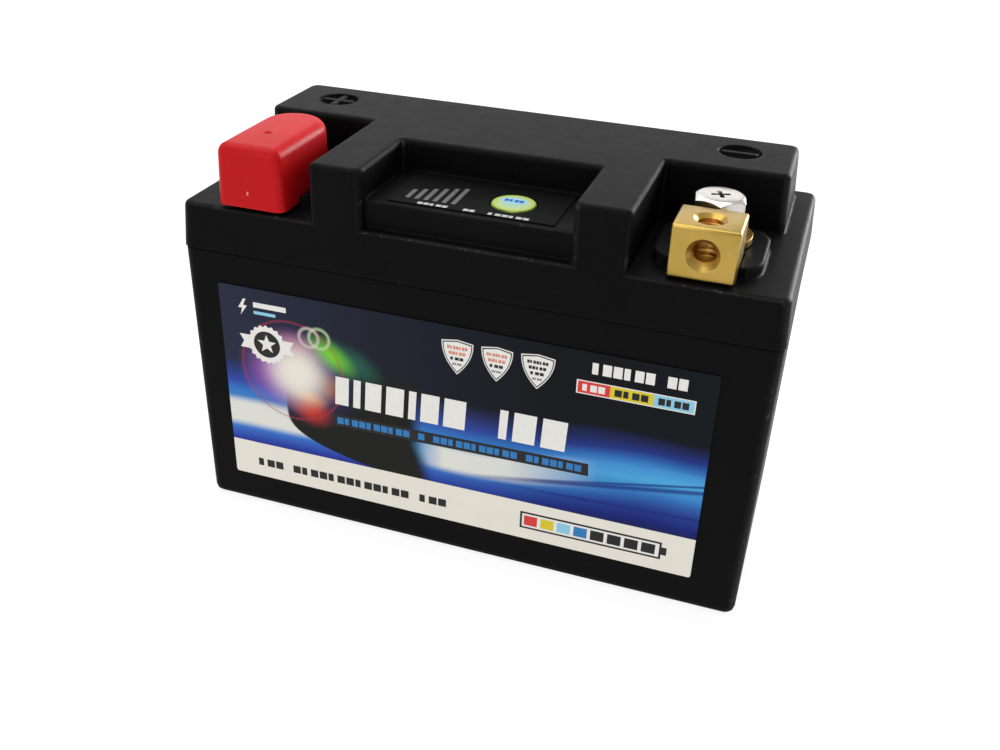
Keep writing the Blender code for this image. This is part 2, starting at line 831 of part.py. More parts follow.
def make_terminal_block(polarity):
    name = f"{polarity}_terminal_block"
    x = TERMINAL_X[polarity]
    half = BLOCK_WIDTH / 2
    bm = block_bmesh((x - half, BLOCK_FRONT_Y, BLOCK_BOTTOM_Z), (x + half, BLOCK_BACK_Y, BLOCK_TOP_Z))
    bmesh.ops.bevel(bm, geom=bm.edges, offset=BLOCK_ROUND, segments=1, affect="EDGES")
    block = from_bmesh(name, bm, surface=BRASS)
    tongue = box(
        f"{name}_tongue",
        (x - half + BLOCK_ROUND, BLOCK_BACK_Y - BLOCK_ROUND * 2, TONGUE_BOTTOM_Z),
        (x + half - BLOCK_ROUND, TERMINAL_Y, TONGUE_TOP_Z),
        CUTTERS,
    )
    end = cylinder(f"{name}_end", x, TERMINAL_Y, TONGUE_BOTTOM_Z, TONGUE_TOP_Z, half - BLOCK_ROUND)
    bolt_hole = cylinder(
        f"{name}_bolt_hole",
        x,
        TERMINAL_Y,
        TONGUE_BOTTOM_Z - WALL,
        TONGUE_TOP_Z + WALL,
        CLEARANCE_RADIUS,
    )
    top_hole = threaded_hole(f"{name}_top_hole", BLOCK_TOP_Z - BLOCK_BOTTOM_Z - WALL)
    top_hole.location = (x, TOP_HOLE_Y, BLOCK_TOP_Z)
    front_hole = threaded_hole(f"{name}_front_hole", TOP_HOLE_Y - BLOCK_FRONT_Y + THREAD_DRILL_RADIUS)
    front_hole.location = (x, BLOCK_FRONT_Y, FRONT_HOLE_Z)
    front_hole.rotation_euler = (math.radians(90), 0.0, 0.0)
    join(block, tongue, end)
    cut(block, bolt_hole, top_hole, front_hole)
    return shade_round(block)


def make_terminal_insert(polarity):
    """The brass insert of the boss: a flange with a flat for the block, and a stem with a blind hole."""
    name = f"{polarity}_terminal_insert"
    x = TERMINAL_X[polarity]
    profile = [
        (INSERT_HOLE_RADIUS, FLANGE_TOP_Z),
        (FLANGE_RADIUS, FLANGE_TOP_Z),
        (FLANGE_RADIUS, FLANGE_BOTTOM_Z),
        (INSERT_RADIUS, FLANGE_BOTTOM_Z),
        (INSERT_RADIUS, INSERT_BOTTOM_Z),
        (0.0, INSERT_BOTTOM_Z),
        (0.0, INSERT_HOLE_BOTTOM_Z),
        (INSERT_HOLE_RADIUS, INSERT_HOLE_BOTTOM_Z),
    ]
    insert = turned(name, profile, x, TERMINAL_Y, surface=BRASS, closed=True)
    flat = box(
        f"{name}_flat",
        (x - FLANGE_RADIUS * 2, TERMINAL_Y - FLANGE_RADIUS * 2, FLANGE_BOTTOM_Z - GAP),
        (x + FLANGE_RADIUS * 2, BLOCK_BACK_Y + GAP, FLANGE_TOP_Z + GAP),
        CUTTERS,
    )
    cut(insert, flat)
    return shade_round(insert)


def make_washers(polarity):
    x = TERMINAL_X[polarity]
    plain = turned(
        f"{polarity}_plain_washer",
        [
            (WASHER_RADIUS, WASHER_TOP_Z),
            (WASHER_RADIUS, WASHER_BOTTOM_Z),
            (CLEARANCE_RADIUS, WASHER_BOTTOM_Z),
            (CLEARANCE_RADIUS, WASHER_TOP_Z),
        ],
        x,
        TERMINAL_Y,
        surface=ZINC,
        closed=True,
    )
    shade_round(plain)
    spring = turned(
        f"{polarity}_spring_washer",
        [
            (SPRING_WASHER_RADIUS, SPRING_WASHER_TOP_Z),
            (SPRING_WASHER_RADIUS, SPRING_WASHER_BOTTOM_Z),
            (CLEARANCE_RADIUS, SPRING_WASHER_BOTTOM_Z),
            (CLEARANCE_RADIUS, SPRING_WASHER_TOP_Z),
        ],
        x,
        TERMINAL_Y,
        surface=ZINC,
        closed=True,
    )
    slit = box(
        f"{polarity}_washer_slit",
        (x, TERMINAL_Y - SPRING_WASHER_SLIT / 2, SPRING_WASHER_BOTTOM_Z - GAP),
        (x + SPRING_WASHER_RADIUS * 2, TERMINAL_Y + SPRING_WASHER_SLIT / 2, SPRING_WASHER_TOP_Z + GAP),
        CUTTERS,
    )
    cut(spring, slit)
    shade_round(spring)


def make_bolt(polarity):
    """A hexagonal bolt with a chamfered head and a cross recess, its origin on its own axis."""
    name = f"{polarity}_terminal_bolt"
    x = TERMINAL_X[polarity]
    height = BOLT_HEAD_TOP_Z - BOLT_HEAD_BOTTOM_Z
    bm = bmesh.new()
    across_corners = BOLT_FLATS / math.cos(math.pi / 6) / 2
    bmesh.ops.create_cone(
        bm,
        cap_ends=True,
        segments=6,
        radius1=across_corners,
        radius2=across_corners,
        depth=height,
        matrix=Matrix.Translation((0.0, 0.0, (BOLT_HEAD_TOP_Z + BOLT_HEAD_BOTTOM_Z) / 2)),
    )
    bolt = from_bmesh(name, bm, surface=ZINC)
    bolt.location = (x, TERMINAL_Y, 0.0)
    flare = across_corners - BOLT_FLATS / 2 + BOLT_CHAMFER
    chamfer = turned(
        f"{name}_chamfer",
        [
            (0.0, BOLT_HEAD_TOP_Z),
            (BOLT_FLATS / 2 - GAP, BOLT_HEAD_TOP_Z),
            (BOLT_FLATS / 2 - GAP + flare * 2, BOLT_HEAD_TOP_Z - flare),
            (BOLT_FLATS / 2 - GAP + flare * 2, BOLT_HEAD_BOTTOM_Z - GAP),
            (0.0, BOLT_HEAD_BOTTOM_Z - GAP),
        ],
        x,
        TERMINAL_Y,
        CUTTERS,
    )
    combine(bolt, chamfer, "INTERSECT")
    shank = turned(
        f"{name}_shank",
        [
            (0.0, BOLT_HEAD_BOTTOM_Z + BOLT_CHAMFER),
            (BOLT_RADIUS, BOLT_HEAD_BOTTOM_Z + BOLT_CHAMFER),
            (BOLT_RADIUS, BOLT_END_Z + BOLT_CHAMFER),
            (BOLT_RADIUS - BOLT_CHAMFER, BOLT_END_Z),
            (0.0, BOLT_END_Z),
        ],
        x,
        TERMINAL_Y,
        CUTTERS,
        steps=SHANK_STEPS,
    )
    join(bolt, shank)
    for index, size in enumerate(((CROSS_LENGTH, CROSS_WIDTH), (CROSS_WIDTH, CROSS_LENGTH))):
        slot = box(
            f"{name}_cross_{index}",
            (x - size[0] / 2, TERMINAL_Y - size[1] / 2, BOLT_HEAD_TOP_Z - CROSS_DEPTH),
            (x + size[0] / 2, TERMINAL_Y + size[1] / 2, BOLT_HEAD_TOP_Z + WALL),
            CUTTERS,
        )
        cut(bolt, slot)
    return shade_round(bolt)


def cap_outline(half_width, front, round_y):
    """Straight sides, slightly rounded front corners and a round back."""
    front_corners = [
        (-half_width, round_y),
        (-half_width, front),
        (half_width, front),
        (half_width, round_y),
    ]
    radii = [0.0, CAP_FRONT_CORNER, CAP_FRONT_CORNER, 0.0]
    points = round_outline(front_corners, radii, ROUND_SEGMENTS)
    steps = ROUND_STEPS // 2
    for step in range(1, steps):
        angle = math.pi * step / steps
        points.append(Vector((half_width * math.cos(angle), round_y + half_width * math.sin(angle))))
    return points


def cap_form(name, inset, bottom, top, edge_round):
    """The cap's outer or inner form: wider at the bottom, with a rounded roof edge."""
    half = CAP_TOP_HALF_WIDTH - inset
    points = cap_outline(half, CAP_FRONT_Y + inset, CAP_ROUND_Y)
    form = extruded_outline(name, points, bottom, top)
    flare = (CAP_BOTTOM_HALF_WIDTH - CAP_TOP_HALF_WIDTH) / (CAP_TOP_Z - CAP_BOTTOM_Z)
    for vert in form.data.vertices:
        vert.co.x *= 1.0 + flare * (CAP_TOP_Z - vert.co.z) / half
        vert.co.x += TERMINAL_X["positive"]
    if edge_round > 0.0:
        bm = bmesh.new()
        bm.from_mesh(form.data)
        round_level_edges(bm, top, edge_round, 3)
        bm.to_mesh(form.data)
        bm.free()
    return form


def make_terminal_cap():
    cap = cap_form("positive_terminal_cap", 0.0, CAP_BOTTOM_Z, CAP_TOP_Z, CAP_EDGE_ROUND)
    CUTTERS.objects.unlink(cap)
    PARTS.objects.link(cap)
    cap.hide_render = False
    cap.display_type = "TEXTURED"
    cap.data.materials.append(CAP_RED)
    room = cap_form("cap_room", CAP_WALL, CAP_BOTTOM_Z - WALL, CAP_TOP_Z - CAP_ROOF, 0.0)
    x = TERMINAL_X["positive"]
    reach = CAP_BOTTOM_HALF_WIDTH * 2
    arch = box(
        "cap_arch",
        (x - reach, CAP_ARCH_Y, CAP_BOTTOM_Z - WALL),
        (x + reach, WALL, CAP_ARCH_Z),
        CUTTERS,
    )
    flange_notch = box(
        "cap_flange_notch",
        (x - reach, CAP_FLANGE_NOTCH_Y, CAP_BOTTOM_Z - WALL),
        (x + reach, WALL, FLANGE_TOP_Z + GAP),
        CUTTERS,
    )
    dimple = cylinder(
        "cap_dimple",
        CAP_DIMPLE_X,
        CAP_DIMPLE_Y,
        CAP_TOP_Z - GAP,
        CAP_TOP_Z + WALL,
        CAP_DIMPLE_RADIUS,
        FINE_STEPS,
    )
    cut(cap, room, arch, flange_notch, dimple)
    shade_round(cap)
    cap.data.transform(Matrix.Translation((-x, -TERMINAL_Y, 0.0)))
    cap.location = (x, TERMINAL_Y, 0.0)
    return cap


def make_terminal(polarity):
    make_terminal_insert(polarity)
    make_terminal_block(polarity)
    make_washers(polarity)
    make_bolt(polarity)


# ---------------------------------------------------------------- display


def make_button():
    """The round test button and its stem, with its origin on its own axis."""
    ease = BUTTON_CLEARANCE
    button = turned(
        "test_button",
        [
            (0.0, BUTTON_TOP_Z),
            (BUTTON_RADIUS - ease, BUTTON_TOP_Z),
            (BUTTON_RADIUS, BUTTON_TOP_Z - ease),
            (BUTTON_RADIUS, BUTTON_BOTTOM_Z),
            (BUTTON_STEM_RADIUS, BUTTON_BOTTOM_Z),
            (BUTTON_STEM_RADIUS, BUTTON_STEM_BOTTOM_Z),
            (0.0, BUTTON_STEM_BOTTOM_Z),
        ],
        BUTTON_X,
        BUTTON_Y,
        surface=BUTTON_GREEN,
    )
    return shade_round(button)


def make_overlay():
    bottom = DISPLAY_TOP_Z + OVERLAY_LIFT
    overlay = rounded_box(
        "display_overlay",
        (-OVERLAY_HALF_LENGTH, OVERLAY_FRONT_Y, bottom),
        (OVERLAY_HALF_LENGTH, OVERLAY_BACK_Y, bottom + OVERLAY_THICKNESS),
        LABEL_CORNER / 2,
        3,
        PARTS,
        OVERLAY_BLACK,
    )
    hole = cylinder(
        "overlay_hole",
        BUTTON_X,
        BUTTON_Y,
        DISPLAY_TOP_Z - WALL,
        CASE_HEIGHT,
        BUTTON_RADIUS + BUTTON_CLEARANCE,
    )
    cut(overlay, hole)
    return apply_modifiers(overlay)


def make_display_board():
    top = DISPLAY_BOARD_Z + BOARD_THICKNESS
    box(
        "display_board",
        (-DISPLAY_BOARD_HALF_LENGTH, DISPLAY_BOARD_FRONT_Y, DISPLAY_BOARD_Z),
        (DISPLAY_BOARD_HALF_LENGTH, DISPLAY_BOARD_BACK_Y, top),
        PARTS,
        BOARD_GREEN,
    )
    for index in range(BAR_COUNT):
        x = FIRST_BAR_X + index * BAR_PITCH
        box(
            f"charge_led_{index + 1}",
            (x - LED_SIZE[0] / 2, LED_Y - LED_SIZE[1] / 2, top + GAP),
            (x + LED_SIZE[0] / 2, LED_Y + LED_SIZE[1] / 2, top + GAP + LED_SIZE[2]),
            PARTS,
            LED_CLEAR,
        )


def make_switch():
    half = SWITCH_SIDE / 2
    body = box(
        "tact_switch_body",
        (BUTTON_X - half, BUTTON_Y - half, SWITCH_BOTTOM_Z),
        (BUTTON_X + half, BUTTON_Y + half, SWITCH_TOP_Z),
        PARTS,
        CHIP_BLACK,
    )
    well = cylinder(
        "switch_well",
        BUTTON_X,
        BUTTON_Y,
        SWITCH_WELL_Z,
        CASE_HEIGHT,
        PLUNGER_RADIUS + GAP,
        PLUNGER_STEPS,
    )
    cut(body, well)
    apply_modifiers(body)
    plunger = turned(
        "tact_switch_plunger",
        [
            (0.0, PLUNGER_TOP_Z),
            (PLUNGER_RADIUS, PLUNGER_TOP_Z),
            (PLUNGER_RADIUS, PLUNGER_BOTTOM_Z),
            (0.0, PLUNGER_BOTTOM_Z),
        ],
        BUTTON_X,
        BUTTON_Y,
        surface=CONNECTOR_WHITE,
        steps=PLUNGER_STEPS,
    )
    shade_round(plunger)


# ---------------------------------------------------------------- cells, boards and leads


def cell_y(index):
    return (index - (CELL_COUNT - 1) / 2) * CELL_PITCH


def positive_tab_x(index):
    """Neighbouring cells stand the other way round, so that they join in series."""
    return -TAB_X if index % 2 == 0 else TAB_X


def make_cell(index):
    y = cell_y(index)
    half = (CELL_LENGTH / 2, CELL_THICKNESS / 2)
    bm = block_bmesh((-half[0], y - half[1], CELL_BOTTOM_Z), (half[0], y + half[1], CELL_TOP_Z))
    bmesh.ops.bevel(bm, geom=bm.edges, offset=CELL_ROUND, segments=2, profile=0.5, affect="EDGES")
    cell = from_bmesh(f"cell_{index + 1}", bm, surface=ALUMINIUM)
    shade_round(cell)
    for polarity, sign in (("positive", 1), ("negative", -1)):
        x = sign * positive_tab_x(index)
        box(
            f"cell_{index + 1}_{polarity}_tab",
            (x - TAB_WIDTH / 2, y - TAB_THICKNESS / 2, TAB_BOTTOM_Z),
            (x + TAB_WIDTH / 2, y + TAB_THICKNESS / 2, TAB_TOP_Z),
            PARTS,
            NICKEL,
        )


def make_pads():
    height = (CELL_BOTTOM_Z + GAP, CELL_TOP_Z - GAP)
    half = PAD_LENGTH / 2
    for index in range(CELL_COUNT - 1):
        y = (cell_y(index) + cell_y(index + 1)) / 2
        box(
            f"cell_pad_{index + 1}",
            (-half, y - PAD_THICKNESS / 2, height[0]),
            (half, y + PAD_THICKNESS / 2, height[1]),
            PARTS,
            FOAM,
        )
    face = cell_y(CELL_COUNT - 1) + CELL_THICKNESS / 2 + GAP
    back = face + SIDE_PAD_THICKNESS
    box("rear_pad", (-half, face, height[0]), (half, back, height[1]), PARTS, FOAM)
    box("front_pad", (-half, -back, height[0]), (half, -face, height[1]), PARTS, FOAM)
    box(
        "base_pad",
        (-half, -face + GAP, WALL + GAP),
        (half, face - GAP, WALL + GAP + BASE_PAD_THICKNESS),
        PARTS,
        FOAM,
    )


def make_tab_board():
    board = box(
        "tab_board",
        (-TAB_BOARD_HALF_LENGTH, -TAB_BOARD_HALF_WIDTH, TAB_BOARD_Z),
        (TAB_BOARD_HALF_LENGTH, TAB_BOARD_HALF_WIDTH, TAB_BOARD_Z + TAB_BOARD_THICKNESS),
        PARTS,
        BOARD_GREEN,
    )
    reach_x = TAB_WIDTH / 2 + TAB_SLOT_CLEARANCE
    reach_y = TAB_THICKNESS / 2 + TAB_SLOT_CLEARANCE
    for index in range(CELL_COUNT):
        for x in (-TAB_X, TAB_X):
            slot = box(
                f"tab_slot_{index}_{'left' if x < 0 else 'right'}",
                (x - reach_x, cell_y(index) - reach_y, TAB_BOARD_Z - WALL),
                (x + reach_x, cell_y(index) + reach_y, TAB_BOARD_Z + WALL * 2),
                CUTTERS,
            )
            cut(board, slot)
    apply_modifiers(board)


def make_series_links():
    for index in range(CELL_COUNT - 1):
        x = -positive_tab_x(index)
        low = cell_y(index) + TAB_THICKNESS / 2 + GAP
        high = cell_y(index + 1) - TAB_THICKNESS / 2 - GAP
        box(
            f"series_link_{index + 1}",
            (x - LINK_WIDTH / 2, low, LINK_Z),
            (x + LINK_WIDTH / 2, high, LINK_Z + LINK_THICKNESS),
            PARTS,
            COPPER,
        )


def make_straps():
    top = STRAP_Z + STRAP_THICKNESS
    first_y = cell_y(0) - TAB_THICKNESS
    half = STRAP_WIDTH / 2
    left = TERMINAL_X["positive"]
    positive = box(
        "positive_strap",
        (left - half, first_y, STRAP_Z),
        (left + half, TERMINAL_Y + half, top),
        PARTS,
        COPPER,
    )
    foot = box(
        "positive_strap_foot",
        (left, first_y, STRAP_Z),
        (-TAB_X + half, first_y + half, top),
        CUTTERS,
    )
    apply_modifiers(join(positive, foot))
    riser_y = BMS_FRONT_Y + STRAP_THICKNESS
    right = TERMINAL_X["negative"]
    negative = box(
        "negative_strap",
        (right - half, TERMINAL_Y - half, STRAP_Z),
        (right + half, riser_y + STRAP_THICKNESS, top),
        PARTS,
        COPPER,
    )
    riser = box(
        "negative_strap_riser",
        (right - half, riser_y, STRAP_Z),
        (right + half, riser_y + STRAP_THICKNESS, BMS_Z - GAP),
        CUTTERS,
    )
    apply_modifiers(join(negative, riser))
    last_y = cell_y(CELL_COUNT - 1) + TAB_THICKNESS / 2 + GAP
    box(
        "pack_negative_strap",
        (-TAB_X - half, last_y, LINK_Z),
        (-TAB_X + half, last_y + STRAP_THICKNESS, BMS_Z - GAP),
        PARTS,
        COPPER,
    )


def make_bms():
    top = BMS_Z + BOARD_THICKNESS
    box(
        "management_board",
        (-BMS_HALF_LENGTH, BMS_FRONT_Y, BMS_Z),
        (BMS_HALF_LENGTH, BMS_BACK_Y, top),
        PARTS,
        BOARD_GREEN,
    )
    for index in range(MOSFET_COUNT):
        x = MOSFET_FIRST_X + index * MOSFET_PITCH
        place_chip(f"mosfet_{index + 1}", x, MOSFET_SIZE, top)
    place_chip("charge_controller", CONTROLLER_X, CONTROLLER_SIZE, top)
    connector = box(
        "balance_connector",
        (CONNECTOR_X - CONNECTOR_SIZE[0] / 2, MOSFET_Y - CONNECTOR_SIZE[1] / 2, top + GAP),
        (CONNECTOR_X + CONNECTOR_SIZE[0] / 2, MOSFET_Y + CONNECTOR_SIZE[1] / 2, top + CONNECTOR_SIZE[2]),
        PARTS,
        CONNECTOR_WHITE,
    )
    mouth = box(
        "connector_mouth",
        (
            CONNECTOR_X - CONNECTOR_SIZE[0] / 2 + CONNECTOR_WALL,
            MOSFET_Y - CONNECTOR_SIZE[1] / 2 + CONNECTOR_WALL,
            top + GAP + CONNECTOR_WALL,
        ),
        (
            CONNECTOR_X + CONNECTOR_SIZE[0] / 2 - CONNECTOR_WALL,
            MOSFET_Y + CONNECTOR_SIZE[1] / 2 - CONNECTOR_WALL,
            top + CONNECTOR_SIZE[2] * 2,
        ),
        CUTTERS,
    )
    apply_modifiers(cut(connector, mouth))


def place_chip(name, x, size, board_top):
    box(
        name,
        (x - size[0] / 2, MOSFET_Y - size[1] / 2, board_top + GAP),
        (x + size[0] / 2, MOSFET_Y + size[1] / 2, board_top + GAP + size[2]),
        PARTS,
        CHIP_BLACK,
    )


def make_display_cable():
    """A flat cable from under the display board, along and up to the management board."""
    half = CABLE_WIDTH / 2
    cable = box(
        "display_cable",
        (-half, CABLE_FRONT_Y, CABLE_Z),
        (half, CABLE_BACK_Y, CABLE_Z + CABLE_THICKNESS),
        PARTS,
        CABLE_GREY,
    )
    front = box(
        "cable_front_rise",
        (-half, CABLE_FRONT_Y, CABLE_Z),
        (half, CABLE_FRONT_Y + CABLE_THICKNESS, DISPLAY_BOARD_Z - GAP),
        CUTTERS,
    )
    back = box(
        "cable_back_rise",
        (-half, CABLE_BACK_Y - CABLE_THICKNESS, CABLE_Z),
        (half, CABLE_BACK_Y, BMS_Z - GAP),
        CUTTERS,
    )
    apply_modifiers(join(cable, front, back))


def build():
    make_container()
    make_weld_bead()
    make_lid()
    make_labels()
    for polarity in TERMINAL_X:
        make_terminal(polarity)
    make_terminal_cap()
    make_overlay()
    make_button()
    make_display_board()
    make_switch()
    for index in range(CELL_COUNT):
        make_cell(index)
    make_pads()
    make_tab_board()
    make_series_links()
    make_straps()
    make_bms()
    make_display_cable()


build()
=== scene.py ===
import json
import math

import bmesh
import bpy
from mathutils import Matrix, Vector


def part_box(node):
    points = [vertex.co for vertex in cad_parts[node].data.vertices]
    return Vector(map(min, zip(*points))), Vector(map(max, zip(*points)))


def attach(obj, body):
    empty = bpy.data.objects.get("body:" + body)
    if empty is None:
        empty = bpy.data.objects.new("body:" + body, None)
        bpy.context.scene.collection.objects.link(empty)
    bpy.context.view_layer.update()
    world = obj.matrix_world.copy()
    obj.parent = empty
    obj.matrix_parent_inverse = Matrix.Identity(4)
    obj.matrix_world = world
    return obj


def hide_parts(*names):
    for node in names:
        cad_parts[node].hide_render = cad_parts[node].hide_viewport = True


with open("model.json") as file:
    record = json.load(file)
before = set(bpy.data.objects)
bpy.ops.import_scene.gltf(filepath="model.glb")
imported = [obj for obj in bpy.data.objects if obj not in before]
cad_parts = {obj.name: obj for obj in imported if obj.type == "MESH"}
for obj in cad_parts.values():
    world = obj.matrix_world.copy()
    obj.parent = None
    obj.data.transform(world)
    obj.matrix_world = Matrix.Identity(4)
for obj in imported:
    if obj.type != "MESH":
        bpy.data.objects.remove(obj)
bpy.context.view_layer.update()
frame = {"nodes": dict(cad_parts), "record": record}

MM = 0.001

# Camera: place in metres, turn and tilt in degrees
CAMERA_PLACE = (0.06913, -0.22593, 0.16816)
CAMERA_TURN = 18.142
CAMERA_TILT = 29.769
CAMERA_ROLL = 1.923
CAMERA_LENS = 39.131
CAMERA_SHIFT = (0.0167, -0.0060)

# Label artwork on the front face, all in millimetres from the object's origin
LABEL_WALL_Y = -32.55
LABEL_DRAFT = 0.4 / 68.1
LABEL_RIM_Z = 68.1
PRINT_LIFT = 0.012
PRINT_THICKNESS = 0.008
BAND_TOP = 18.85
PRINT_SHIFT = (0.7, 0.45)
PRINT_SQUEEZE = 0.009
PRINT_RISE = 0.007

# Glow of the light table under the object
FLOOR_GLOW = 0.84

# Threads, in millimetres: the pitch, and a tapped hole's radii at its core, grooves and flared mouth
PITCH = 1.0
HOLE_CORE = 2.5
HOLE_GROOVE = 3.02
HOLE_MOUTH = 3.4

# Steps of a turned body's outline
RING_STEPS = 48

# Terminal block, in millimetres: each tapped hole as place and depth, the tongue's bottom and top above
# the block's foot, and the radii of the tongue's round end and of its hole
BLOCK_DEPTH = 11.7
BLOCK_BEVEL = 0.55
TOP_HOLE = (5.6, 8.6)
FRONT_HOLE = (5.5, 8.1)
TONGUE_LEVELS = (4.2, 5.9)
TONGUE_INSET = 0.4
TONGUE_END = 6.3
TONGUE_HOLE = 3.2

# Terminal bolt, in millimetres: the head's turn and the cross recess's further turn in degrees, half the
# length and width of a recess arm, and the share of that size left at the recess's foot
HEAD_HEIGHT = 3.3
HEAD_FLATS = 10.0
HEAD_TURN = 9.0
RECESS_TURN = 11.0
RECESS_ARM = (2.15, 0.5)
RECESS_DEPTH = 1.9
RECESS_FOOT = 0.62
SHANK_CORE = 2.42
SHANK_CREST = 2.85

# Red cap, in millimetres: each side leans in by the taper between the bottom and the roof.
# The arch and the notch open its back, behind the given distance from its front.
CAP_TAPER = 0.6
CAP_WALL = 0.65
CAP_ROOF = 1.1
CAP_ROUND = 2.4
CAP_INNER_ROUND = 1.5
CAP_CORNER = 2.0
CAP_ROUND_STEPS = 8
CAP_CORNER_STEPS = 8
CAP_BACK_STEPS = 40
ARCH_START = 13.4
ARCH_TOP = 2.0
NOTCH_START = 16.5
NOTCH_GAP = 0.3


# ---------------------------------------------------------------- node helpers


class Look:
    """A procedural material: one Principled shader and the nodes that feed it."""

    def __init__(self, name, roughness=0.5, metallic=0.0, specular=0.5):
        self.material = bpy.data.materials.new(name)
        self.material.use_nodes = True
        self.nodes = self.material.node_tree.nodes
        self.links = self.material.node_tree.links
        self.shader = self.nodes["Principled BSDF"]
        self.set("Roughness", roughness)
        self.set("Metallic", metallic)
        self.set("Specular IOR Level", specular)
        self.place = self.node("ShaderNodeTexCoord").outputs["Object"]

    def put(self, socket, value):
        if isinstance(value, bpy.types.NodeSocket):
            self.links.new(value, socket)
        elif isinstance(value, (tuple, list)) and len(value) == 3 and socket.type == "RGBA":
            socket.default_value = (*value, 1.0)
        else:
            socket.default_value = value

    def set(self, name, value):
        self.put(self.shader.inputs[name], value)

    def node(self, kind, inputs=None, **settings):
        made = self.nodes.new(kind)
        for key, value in settings.items():
            setattr(made, key, value)
        for key, value in (inputs or {}).items():
            self.put(made.inputs[key], value)
        return made

    def math(self, operation, *values, clamp=False):
        made = self.node("ShaderNodeMath", operation=operation, use_clamp=clamp)
        for socket, value in zip(made.inputs, values):
            self.put(socket, value)
        return made.outputs[0]

    def sum(self, *values):
        total = values[0]
        for value in values[1:]:
            total = self.math("ADD", total, value)
        return total

    def times(self, first, second, clamp=False):
        return self.math("MULTIPLY", first, second, clamp=clamp)

    def minus(self, first, second):
        return self.math("SUBTRACT", first, second)

    def axes(self):
        """The X, Y and Z coordinates in millimetres."""
        split = self.node("ShaderNodeSeparateXYZ", {0: self.place})
        return [self.times(split.outputs[index], 1.0 / MM) for index in range(3)]

    def stretched(self, scale):
        return self.node("ShaderNodeVectorMath", {0: self.place, 1: scale}, operation="MULTIPLY").outputs[0]

    def noise(self, scale, detail=3.0, vector=None, distortion=0.0):
        inputs = {
            "Vector": vector or self.place,
            "Scale": scale,
            "Detail": detail,
            "Distortion": distortion,
        }
        return self.node("ShaderNodeTexNoise", inputs).outputs["Fac"]

    def cells(self, scale):
        return self.node("ShaderNodeTexVoronoi", {"Vector": self.place, "Scale": scale}).outputs["Distance"]

    def ramp(self, factor, stops):
        """A colour or grey ramp from (position, colour) stops."""
        made = self.node("ShaderNodeValToRGB", {"Fac": factor})
        elements = made.color_ramp.elements
        while len(elements) < len(stops):
            elements.new(0.5)
        for element, (position, colour) in zip(elements, stops):
            element.position = position
            element.color = (*colour, 1.0) if isinstance(colour, tuple) else (colour, colour, colour, 1.0)
        return made.outputs["Color"]

    def span(self, value, low, high, out_low=0.0, out_high=1.0, smooth=False):
        """Maps a value from one range to another, held at the ends."""
        made = self.node(
            "ShaderNodeMapRange",
            {"Value": value, "From Min": low, "From Max": high, "To Min": out_low, "To Max": out_high},
            interpolation_type="SMOOTHSTEP" if smooth else "LINEAR",
        )
        return made.outputs["Result"]

    def uneven(self, scale, low, high, detail=3.0):
        """A value that wanders between two levels over the surface."""
        return self.span(self.noise(scale, detail), 0.3, 0.7, low, high)

    def reach(self, u, v, centre):
        """The distance from a centre, in millimetres."""
        across = self.math("POWER", self.minus(u, centre[0]), 2.0)
        along = self.math("POWER", self.minus(v, centre[1]), 2.0)
        return self.math("SQRT", self.sum(across, along))

    def mix(self, factor, first, second, blend="MIX"):
        made = self.node("ShaderNodeMix", data_type="RGBA", blend_type=blend)
        self.put(made.inputs["Factor"], factor)
        self.put(made.inputs[6], first)
        self.put(made.inputs[7], second)
        return made.outputs[2]

    def spot(self, x, z, centre, size, turn=0.0):
        """1 at the centre of a soft oval on the front face, falling to 0 at its edge."""
        dx = self.minus(x, centre[0])
        dz = self.minus(z, centre[1])
        cos, sin = math.cos(turn), math.sin(turn)
        along = self.sum(self.times(dx, cos), self.times(dz, sin))
        across = self.minus(self.times(dz, cos), self.times(dx, sin))
        along = self.math("POWER", self.math("DIVIDE", along, size[0]), 2.0)
        across = self.math("POWER", self.math("DIVIDE", across, size[1]), 2.0)
        reach = self.math("SQRT", self.sum(along, across))
        return self.span(reach, 1.0, 0.0, smooth=True)

    def soft_edges(self, radius):
        """A normal that rounds the sharp edges by a small radius."""
        return self.node("ShaderNodeBevel", {"Radius": radius}, samples=4).outputs["Normal"]

    def edge_mask(self, radius, gain):
        """1 along the object's edges, 0 on its flat faces."""
        flat = self.node("ShaderNodeNewGeometry").outputs["Normal"]
        dot = self.node(
            "ShaderNodeVectorMath", {0: self.soft_edges(radius), 1: flat}, operation="DOT_PRODUCT"
        ).outputs["Value"]
        return self.times(self.minus(1.0, dot), gain, clamp=True)

    def rounded_mask(self):
        """1 on rounded edges and corners, 0 on the walls and tops that face along an axis."""
        normal = self.node("ShaderNodeNewGeometry").outputs["Normal"]
        size = self.node("ShaderNodeVectorMath", {0: normal}, operation="ABSOLUTE").outputs[0]
        parts = self.node("ShaderNodeSeparateXYZ", {0: size}).outputs
        main = self.math("MAXIMUM", self.math("MAXIMUM", parts[0], parts[1]), parts[2])
        return self.span(main, 0.94, 0.80, smooth=True)

    def hollow_mask(self, distance, open_level, deep_level):
        """1 deep in the object's own holes and recesses, 0 on its open faces."""
        made = self.node("ShaderNodeAmbientOcclusion", {"Distance": distance}, samples=8, only_local=True)
        return self.span(made.outputs["AO"], open_level, deep_level)

    def bump(self, height, distance, strength=1.0, base=None):
        inputs = {"Height": height, "Distance": distance, "Strength": strength}
        if base:
            inputs["Normal"] = base
        made = self.node("ShaderNodeBump", inputs)
        self.set("Normal", made.outputs["Normal"])


# ---------------------------------------------------------------- materials


